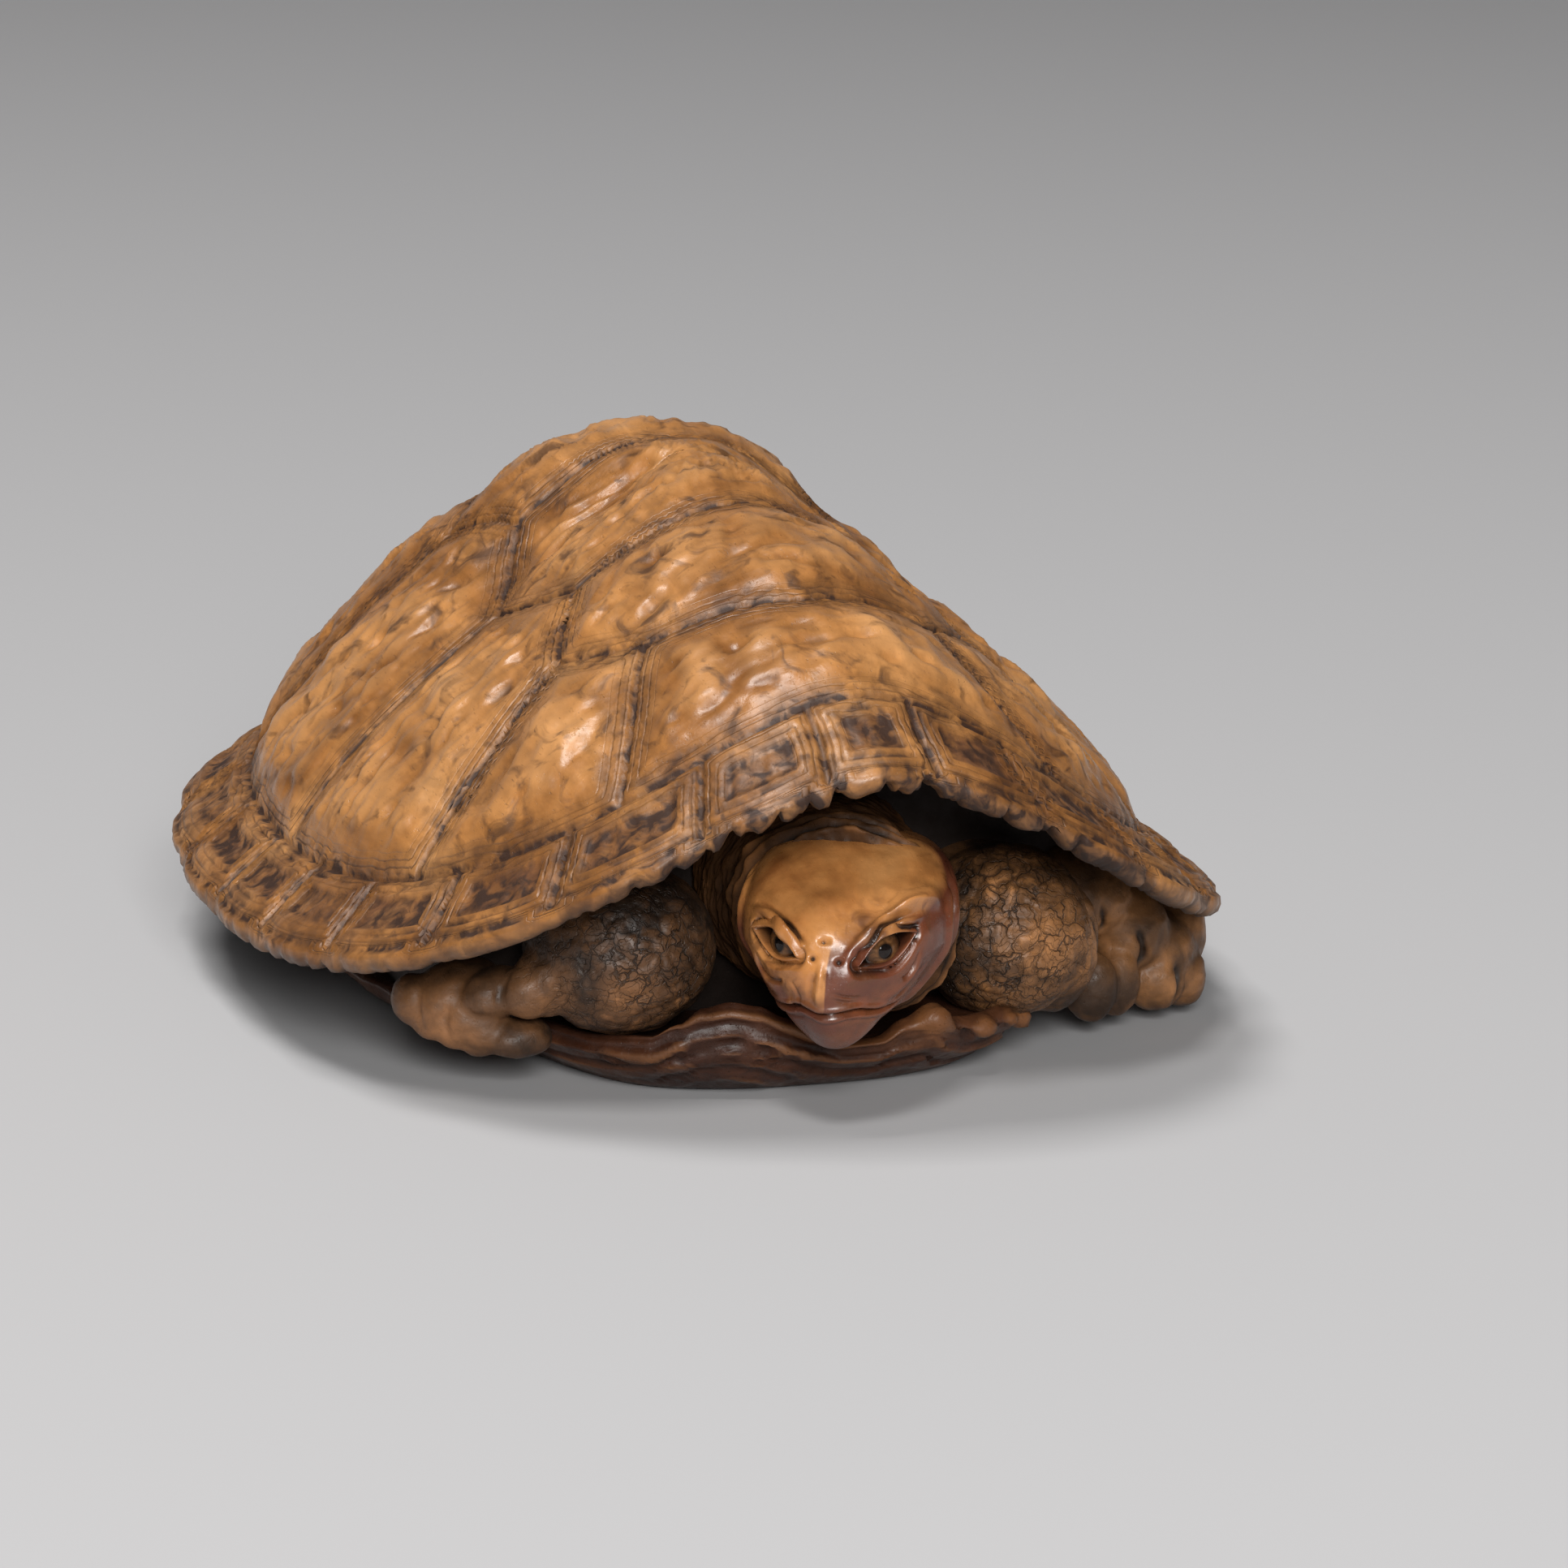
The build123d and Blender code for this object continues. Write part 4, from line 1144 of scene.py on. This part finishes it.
def iris_finish(side):
    """Clouded brown horn, lightest in a ring near the pupil and dark at its edge."""
    bench = Bench("horn_iris")
    place = bench.nodes.new("ShaderNodeTexCoord").outputs["Object"]
    middle = bench.nodes.new("ShaderNodeVectorMath")
    middle.operation = "DISTANCE"
    middle.inputs[1].default_value = (eye_frame(side) @ Vector((0, 0, iris_dome))) * mm
    bench.links.new(place, middle.inputs[0])
    out = bench.spread(middle.outputs["Value"], 0.0, iris_radius * mm)
    horn = bench.ramp(
        out,
        (0.34, (0.03, 0.014, 0.006)), (0.46, (0.14, 0.062, 0.022)),
        (0.72, (0.078, 0.032, 0.012)), (0.95, (0.014, 0.007, 0.004)),
    )
    cloud = bench.patches(3800, 4, 1.0, 0.3, 0.7, 0.55, 1.35)
    horn = bench.mix(1.0, horn, cloud, "MULTIPLY")
    rough = bench.patches(5000, 2, 0, 0.3, 0.7, 0.08, 0.16)
    bench.face.inputs["Specular IOR Level"].default_value = 0.25
    bench.face.inputs["Coat Weight"].default_value = 0.15
    bench.face.inputs["Coat Roughness"].default_value = 0.06
    return bench.finish(horn, rough, (bench.speckle(4200, 3), 0.01))


def pupil_finish():
    """Black horn, polished."""
    bench = Bench("horn_pupil")
    black = bench.ramp(
        bench.speckle(3000, 3), (0.35, (0.004, 0.003, 0.003)), (0.7, (0.016, 0.011, 0.009)),
    )
    rough = bench.patches(5000, 2, 0, 0.3, 0.7, 0.05, 0.12)
    bench.face.inputs["Specular IOR Level"].default_value = 0.25
    bench.face.inputs["Coat Weight"].default_value = 0.08
    bench.face.inputs["Coat Roughness"].default_value = 0.05
    return bench.finish(black, rough)


for side, name in ((-1, "right"), (1, "left")):
    iris = turned_disc(name + "_iris_disc", side, iris_radius, -iris_depth, 0, iris_dome)
    iris.data.materials.append(iris_finish(side))
    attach(iris, "root")
    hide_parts(name + "_iris")
    pupil = turned_disc(name + "_pupil_drop", side, pupil_radius, -pupil_depth, pupil_stand, pupil_dome)
    pupil.data.materials.append(pupil_finish())
    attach(pupil, "root")
    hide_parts(name + "_pupil")


# Hood. A sleeve of loose neck skin comes forward out of the shell and ends in
# layered folds that hug the back of the head. It is carved from the block and
# stained nearly black, the folds rubbed back to brown.
hood_start = Vector((0.7, -13.9, 8.6))
hood_end = head_base + snout * 2.2 - head_up * 0.35
hood_half_width = 4.95
hood_top = 5.1
hood_bottom = 4.9
mouth_turn = 1.3
# Folds round the front: their place along the hood and their height
fold_places = ((0.80, 0.16), (0.87, 0.20), (0.93, 0.18))


def hood_frame(run):
    """Place, across, up and ahead of the hood's section at a share of its length."""
    ahead = Vector((0, -1, 0)).lerp(snout, smooth_step(0.1, 0.8, run)).normalized()
    side = Vector((-ahead.y, ahead.x, 0)).normalized()
    return hood_start.lerp(hood_end, run), side, ahead.cross(side), ahead


bm = bmesh.new()
carve_layer = bm.verts.layers.float.new("carved")
bmesh.ops.create_grid(bm, x_segments=260, y_segments=150, size=1)
for vertex in bm.verts:
    turn = vertex.co.x * math.pi
    run = (vertex.co.y + 1) / 2
    place, side, up, ahead = hood_frame(run)
    over = math.cos(turn)
    close = smooth_step(0.90, 1.0, run) if over > 0 else smooth_step(0.965, 1.0, run)
    wide = hood_half_width - 0.12 * run - mouth_turn * close
    tall = hood_top - 0.6 * smooth_step(0.3, 1, run) if over > 0 else hood_bottom - 0.35 * run
    tall -= mouth_turn * close
    round_spot = Vector((math.sin(turn) * 1.5, over * 1.5, run * 3))
    drift = 0.022 * noise.noise(round_spot * 1.3)
    folds = 0
    for fold_share, height in fold_places:
        folds += height * bell(run + drift - fold_share, 0.018)
        folds -= height * bell(run + drift - fold_share - 0.033, 0.012)
    fibres = noise.noise(Vector((math.sin(turn) * 3, over * 3, run * 16)))
    creases = noise.fractal(Vector((math.sin(turn) * 5, over * 5, run * 26)), 1.0, 2.0, 3)
    lift = folds + 0.12 * fibres + 0.13 * creases + 0.12 * noise.noise(round_spot * 2)
    out = (side * math.sin(turn) + up * over).normalized()
    vertex.co = place + side * wide * math.sin(turn) + up * tall * over + out * lift * (1 - 0.6 * close)
    wrinkle = noise.fractal(Vector((math.sin(turn) * 4, over * 5, run * 60)), 1.0, 2.0, 3)
    vertex.co += ahead * 0.22 * wrinkle * smooth_step(0.0, 0.3, close)
    front = smooth_step(0.86, 0.95, run) * max(over, 0)
    vertex[carve_layer] = lift - 0.02 + (0.12 + 0.25 * wrinkle) * front
bmesh.ops.remove_doubles(bm, verts=bm.verts, dist=0.004)
bmesh.ops.holes_fill(bm, edges=[edge for edge in bm.edges if edge.is_boundary], sides=0)
bmesh.ops.scale(bm, vec=(mm, mm, mm), verts=bm.verts)
hood_folds = finished_piece("hood_folds", bm)


def cracked_scales():
    """Cracks between small plates, in two sizes, on wandering coordinates."""
    group = bpy.data.node_groups.new("cracked_scales", "ShaderNodeTree")
    face = group.interface
    for name in ("Crack", "Plate"):
        face.new_socket(name, in_out="OUTPUT", socket_type="NodeSocketFloat")
    nodes, links = group.nodes, group.links
    outward = nodes.new("NodeGroupOutput")
    place = nodes.new("ShaderNodeTexCoord")
    drift = nodes.new("ShaderNodeTexNoise")
    drift.inputs["Scale"].default_value = 900
    drift.inputs["Detail"].default_value = 3
    links.new(place.outputs["Object"], drift.inputs["Vector"])
    shift = nodes.new("ShaderNodeVectorMath")
    shift.operation = "SCALE"
    shift.inputs["Scale"].default_value = 0.0016
    links.new(drift.outputs["Color"], shift.inputs[0])
    bent = nodes.new("ShaderNodeVectorMath")
    bent.operation = "ADD"
    links.new(place.outputs["Object"], bent.inputs[0])
    links.new(shift.outputs[0], bent.inputs[1])
    masks = []
    large, small = (1080, 0.055), (2300, 0.045)
    for scale, wide in (large, small):
        cells = nodes.new("ShaderNodeTexVoronoi")
        cells.feature = "DISTANCE_TO_EDGE"
        cells.inputs["Scale"].default_value = scale
        links.new(bent.outputs[0], cells.inputs["Vector"])
        mask = nodes.new("ShaderNodeMapRange")
        mask.interpolation_type = "SMOOTHSTEP"
        mask.inputs["From Min"].default_value = wide
        mask.inputs["From Max"].default_value = 0.01
        links.new(cells.outputs["Distance"], mask.inputs["Value"])
        masks.append(mask.outputs["Result"])
        if (scale, wide) == large:
            links.new(cells.outputs["Distance"], outward.inputs["Plate"])
    fine = nodes.new("ShaderNodeMath")
    fine.operation = "MULTIPLY"
    fine.inputs[1].default_value = 0.45
    links.new(masks[1], fine.inputs[0])
    both = nodes.new("ShaderNodeMath")
    both.operation = "MAXIMUM"
    links.new(masks[0], both.inputs[0])
    links.new(fine.outputs[0], both.inputs[1])
    links.new(both.outputs[0], outward.inputs["Crack"])
    return group


cracked_scales_group = cracked_scales()


crack_black = (0.010, 0.006, 0.004, 1)


def skin_finish(name, dark, worn, bare, shine=0.4):
    """Carved leathery skin: black in its cracks, rubbed ochre on the lumps, more so where bare is high."""
    bench = Bench(name)
    grain = bench.grain()
    scales = bench.nodes.new("ShaderNodeGroup")
    scales.node_tree = cracked_scales_group
    scaly = bench.value("scaly")
    crack = bench.sum("MULTIPLY", scales.outputs["Crack"], scaly)
    crack = bench.sum("MULTIPLY", crack, bench.patches(800, 4, 0.8, 0.34, 0.58, 0.15, 1.0))
    plate = bench.sum("MULTIPLY", bench.spread(scales.outputs["Plate"], 0.05, 0.4, 0.0, 0.3), scaly)
    carved = bench.sum("ADD", bench.value("carved"), plate)
    cloud = bench.patches(330, 4, 0.5, 0.35, 0.65, -0.24, 0.20)
    cloud = bench.sum("ADD", cloud, bench.patches(1500, 3, 0, 0.3, 0.7, -0.05, 0.05))
    height = bench.sum("ADD", carved, cloud)
    middle = tuple(0.6 * low + 0.25 * high for low, high in zip(dark, worn))
    wood = bench.mix(bench.spread(height, -0.12, 0.12), (*dark, 1), (*middle, 1))
    rubbed = bench.sum("MULTIPLY", bench.value("rubbed"), bench.patches(520, 4, 0.6, 0.3, 0.6, 0.2, 0.9))
    bare_wood = bench.sum("MAXIMUM", bench.spread(height, 0.18 - bare, 0.42 - bare), rubbed)
    wood = bench.mix(bare_wood, wood, (*worn, 1))
    streak = bench.spread(grain.outputs["Streaks"], 0.35, 0.65, 0.7, 1.15)
    wood = bench.mix(1.0, wood, streak, "MULTIPLY")
    hollow = bench.spread(carved, -0.05, -0.2, 0.0, 0.9)
    hollow = bench.sum("MAXIMUM", hollow, bench.sum("MULTIPLY", crack, 0.8))
    wood = bench.mix(hollow, wood, crack_black)
    rough = bench.patches(2200, 3, 0, 0.3, 0.7, 0.40, 0.60)
    bench.face.inputs["Specular IOR Level"].default_value = shine
    return bench.finish(
        wood, rough, (grain.outputs["Relief"], 0.02), (bench.speckle(2000, 4, 0.4), 0.05),
        (bench.sum("MULTIPLY", crack, -1.0), 0.08),
    )


hood_dark = (0.052, 0.023, 0.010)
hood_worn = (0.20, 0.084, 0.029)
hood_folds.data.materials.append(skin_finish("hood_skin", hood_dark, hood_worn, 0.03, 0.15))
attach(hood_folds, "root")
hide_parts("neck_skin")


# Forelegs. Each is folded back under the rim: a round upper arm beside the
# head, covered with cracked scales, then the elbow, the forearm and a paw
# with blunt claws. They are carved from the block and stained dark.
arm_dark = (0.030, 0.016, 0.009)
right_arm_worn = (0.27, 0.118, 0.044)
left_arm_worn = (0.42, 0.185, 0.065)
# The scales wander by vector noise, which is the same in every run only with a seed
noise.seed_set(11)


def soft_form(name, lumps, voxel=0.13):
    """Lumps melted into one body: middle, radii, and its turn and tilt in degrees."""
    bm = bmesh.new()
    for place, radii, turn, tilt in lumps:
        heading = Matrix.Rotation(math.radians(turn), 4, "Z") @ Matrix.Rotation(math.radians(tilt), 4, "Y")
        shape = Matrix.Translation(place) @ heading @ Matrix.Diagonal((*radii, 1))
        bmesh.ops.create_icosphere(bm, subdivisions=4, radius=1, matrix=shape)
    mesh = bpy.data.meshes.new(name)
    bm.to_mesh(mesh)
    bm.free()
    body = bpy.data.objects.new(name, mesh)
    bpy.context.scene.collection.objects.link(body)
    melt = body.modifiers.new("melt", "REMESH")
    melt.mode = "VOXEL"
    melt.voxel_size = voxel
    ease = body.modifiers.new("ease", "SMOOTH")
    ease.factor = 0.6
    ease.iterations = 9
    bpy.context.view_layer.update()
    melted = body.evaluated_get(bpy.context.evaluated_depsgraph_get())
    settled = bpy.data.meshes.new_from_object(melted)
    body.modifiers.clear()
    body.data = settled
    bpy.data.meshes.remove(mesh)
    settled.name = name
    return body


def nearness(spot, places):
    """How near a point is to the closest of some places, each with its radius."""
    return max((bell((spot - Vector(place)).length, radius) for place, radius in places), default=0)


def scaly_skin(body, cell, crack, lump, scaled, rubbed=(), cuts=None):
    """Scales near the scaled places, lumps and cuts, over a body in millimetres, then in metres."""
    bm = bmesh.new()
    bm.from_mesh(body.data)
    bm.normal_update()
    layer = bm.verts.layers.float.new("carved")
    worn_layer = bm.verts.layers.float.new("rubbed")
    scale_layer = bm.verts.layers.float.new("scaly")
    if cuts:
        knife = Carver(bm)
        cuts(knife)
        knife.carve(layer)
        bm.normal_update()
    moves = []
    for vertex in bm.verts:
        spot = vertex.co + 0.45 * noise.noise_vector(vertex.co * 0.9)
        gaps = noise.voronoi(Vector((spot.x, spot.y, spot.z * 1.5)) / cell)[0]
        scales = nearness(vertex.co, scaled)
        crease = 1 - smooth_step(0.0, 0.16, gaps[1] - gaps[0])
        dome = 0.5 * smooth_step(0.0, 0.6, gaps[1] - gaps[0])
        lumps = noise.fractal(vertex.co * 0.6, 1.0, 2.0, 2)
        wrinkle = noise.noise(Vector((vertex.co.x * 0.9, vertex.co.y * 0.9, vertex.co.z * 2.4)))
        vertex[scale_layer] = min(1.6 * scales, 1)
        lift = crack * (dome - 0.6 * crease) * (0.05 + scales) + lump * (0.7 * lumps + 0.4 * wrinkle)
        vertex[layer] = vertex[layer] + lift
        vertex[worn_layer] = nearness(vertex.co, rubbed)
        moves.append(vertex.normal * lift)
    for vertex, move in zip(bm.verts, moves):
        vertex.co += move
    bmesh.ops.scale(bm, vec=(mm, mm, mm), verts=bm.verts)
    bmesh.ops.recalc_face_normals(bm, faces=bm.faces)
    bm.to_mesh(body.data)
    bm.free()
    body.data.shade_smooth()


# Lumps of each foreleg: upper arm, elbow, forearm, then the paw and its toes
right_arm_lumps = (
    ((-7.9, -13.8, 6.8), (3.8, 3.4, 3.5), 0, 0),
    ((-8.3, -17.1, 6.4), (4.3, 4.2, 3.9), 0, 0),
    ((-11.6, -17.6, 5.2), (1.9, 1.6, 1.6), 20, 0),
    ((-12.0, -18.5, 5.5), (0.95, 0.85, 0.95), 0, 0),
    ((-12.7, -18.0, 4.9), (1.4, 1.2, 1.2), 20, 0),
    ((-13.9, -17.0, 4.7), (1.7, 1.3, 1.1), 25, -10),
    ((-15.2, -15.2, 4.2), (2.4, 1.9, 1.55), 25, -10),
    ((-17.1, -14.9, 4.0), (1.0, 1.3, 1.2), 10, 0),
    ((-16.5, -15.8, 3.7), (0.95, 1.3, 1.35), 25, 0),
    ((-15.6, -16.5, 3.35), (1.0, 1.25, 1.35), 35, 0),
    ((-14.7, -16.9, 3.05), (1.0, 1.2, 1.35), 45, 0),
    ((-12.9, -17.3, 2.6), (1.6, 1.2, 0.95), 20, 0),
)
left_arm_lumps = (
    ((9.2, -13.6, 6.2), (3.9, 3.4, 3.6), 0, 0),
    ((9.8, -16.9, 5.9), (4.0, 4.1, 4.0), 0, 0),
    ((12.1, -16.8, 5.1), (2.3, 2.3, 3.2), 0, 0),
    ((14.2, -13.4, 6.6), (3.0, 2.4, 2.2), -25, 15),
    ((16.6, -13.0, 4.9), (2.9, 2.3, 2.1), -25, 30),
    ((18.7, -12.6, 3.3), (2.2, 2.1, 1.9), -20, 25),
    ((18.4, -13.7, 2.1), (1.5, 1.3, 1.5), -35, 0),
    ((20.0, -12.9, 2.0), (1.3, 1.3, 1.5), -20, 0),
    ((20.2, -10.6, 3.7), (1.8, 2.6, 2.6), 0, 0),
    ((17.6, -10.5, 4.6), (2.6, 2.8, 3.2), 0, 0),
    ((14.6, -15.6, 2.6), (1.3, 1.1, 1.7), -30, 0),
    ((16.2, -14.8, 2.5), (1.1, 1.1, 1.7), -30, 0),
)


def right_arm_cuts(knife):
    """Folds at the elbow and the lines between the toes."""
    for line in (
        ((-11.0, -20.5, 3.6), (-10.6, -20.6, 5.2), (-10.9, -20.2, 7.4)),
        ((-13.4, -18.0, 6.0), (-14.0, -18.0, 4.8), (-13.8, -18.2, 3.6)),
        ((-16.9, -15.8, 4.6), (-17.1, -16.2, 3.8), (-17.0, -16.4, 2.9)),
        ((-16.0, -16.8, 4.2), (-16.2, -17.1, 3.4), (-16.0, -17.2, 2.6)),
    ):
        knife.stroke(line, 0.18, -0.12, stain=0.5)


def left_arm_cuts(knife):
    """The deep groove behind the upper arm, skin folds over the wrist, lines between toes."""
    for line in (
        ((13.6, -18.4, 7.6), (14.2, -18.0, 6.0), (14.4, -17.8, 4.2), (14.0, -17.8, 2.6)),
        ((14.9, -15.8, 6.6), (15.3, -15.8, 5.2), (15.2, -15.6, 4.0)),
        ((17.0, -15.2, 5.0), (17.4, -15.2, 3.8), (17.2, -15.0, 2.8)),
        ((19.2, -14.4, 3.0), (19.3, -14.6, 2.0), (19.2, -14.4, 1.0)),
    ):
        knife.stroke(line, 0.22, -0.35)
    for line in (
        ((12.0, -19.8, 6.9), (12.4, -19.4, 5.4), (12.3, -19.2, 3.9)),
        ((12.9, -19.2, 6.9), (13.2, -18.9, 5.4), (13.1, -18.6, 4.0)),
    ):
        knife.stroke(line, 0.22, 0.2)


# Where each arm has scales and where it is rubbed bare: places and radii
right_scaled = (((-8.2, -19, 6.6), 3.4),)
right_rubbed = (((-16.2, -16.6, 3.4), 2.4), ((-12.6, -18.8, 4.6), 1.3), ((-9.0, -21.0, 5.4), 1.2))
left_scaled = (((9.2, -19, 6.2), 3.6),)
left_rubbed = (
    ((19.4, -14.0, 2.4), 2.2), ((10.8, -20.6, 5.9), 2.6), ((13.4, -18.6, 5.6), 2.0),
    ((16.2, -14.6, 6.0), 2.6), ((20.6, -12.0, 4.4), 1.8),
)
for name, lumps, cuts, scaled, rubbed, worn, bare in (
    ("right_foreleg", right_arm_lumps, right_arm_cuts, right_scaled, right_rubbed, right_arm_worn, -0.07),
    ("left_foreleg", left_arm_lumps, left_arm_cuts, left_scaled, left_rubbed, left_arm_worn, 0.02),
):
    arm = soft_form(name + "_carving", lumps)
    scaly_skin(arm, 1.3, 0.16, 0.12, scaled, rubbed, cuts)
    arm.data.materials.append(skin_finish(name + "_skin", arm_dark, worn, bare))
    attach(arm, "root")
    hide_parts(name)


# Hind legs. They mirror each other: the thigh turned back into the hollow
# behind, the foot lying forward along the flank, stained like the forelegs.
leg_dark = (0.034, 0.018, 0.010)
leg_worn = (0.40, 0.15, 0.035)
for name, side in (("right_hindleg", -1), ("left_hindleg", 1)):
    leg = soft_form(name + "_carving", (
        ((side * 9.2, 15.4, 6.4), (3.6, 3.2, 3.4), 0, 0),
        ((side * 9.8, 18.6, 5.6), (3.4, 3.2, 3.1), 0, 0),
        ((side * 12.4, 18.2, 4.5), (2.6, 2.2, 2.3), 0, side * 20),
        ((side * 15.0, 17.7, 3.3), (2.4, 2.1, 1.8), 0, side * 20),
        ((side * 17.2, 18.9, 2.6), (1.3, 0.7, 0.75), side * 30, side * 20),
        ((side * 17.5, 17.7, 2.5), (1.3, 0.7, 0.75), 0, side * 20),
        ((side * 17.2, 16.5, 2.5), (1.3, 0.7, 0.75), side * -25, side * 20),
    ))
    scaly_skin(leg, 1.0, 0.17, 0.16, (((side * 10, 19, 6), 4.0),))
    leg.data.materials.append(skin_finish(name + "_skin", leg_dark, leg_worn, -0.05))
    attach(leg, "root")
    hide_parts(name)


# Tail. Short and pointed, carved in the block and laid to the left under the
# rear rim, with small scales, stained like the legs.
tail_worn = (0.36, 0.14, 0.035)
tail_carving = soft_form("tail_carving", (
    ((0, 14.6, 4.9), (1.9, 2.2, 1.7), 0, 0),
    ((0.2, 16.8, 4.9), (1.8, 1.8, 1.6), 0, 0),
    ((0.9, 19.0, 4.8), (1.5, 1.6, 1.35), 0, 0),
    ((2.2, 21.0, 4.6), (1.2, 1.2, 1.1), 0, 0),
    ((3.9, 22.6, 4.4), (1.1, 0.8, 0.8), 40, 0),
    ((5.4, 23.6, 4.2), (1.2, 0.5, 0.5), 30, 0),
), 0.12)
scaly_skin(tail_carving, 0.7, 0.12, 0.07, (((1, 18, 5), 4.0),))
tail_carving.data.materials.append(skin_finish("tail_skin", leg_dark, tail_worn, 0.0))
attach(tail_carving, "root")
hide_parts("tail")
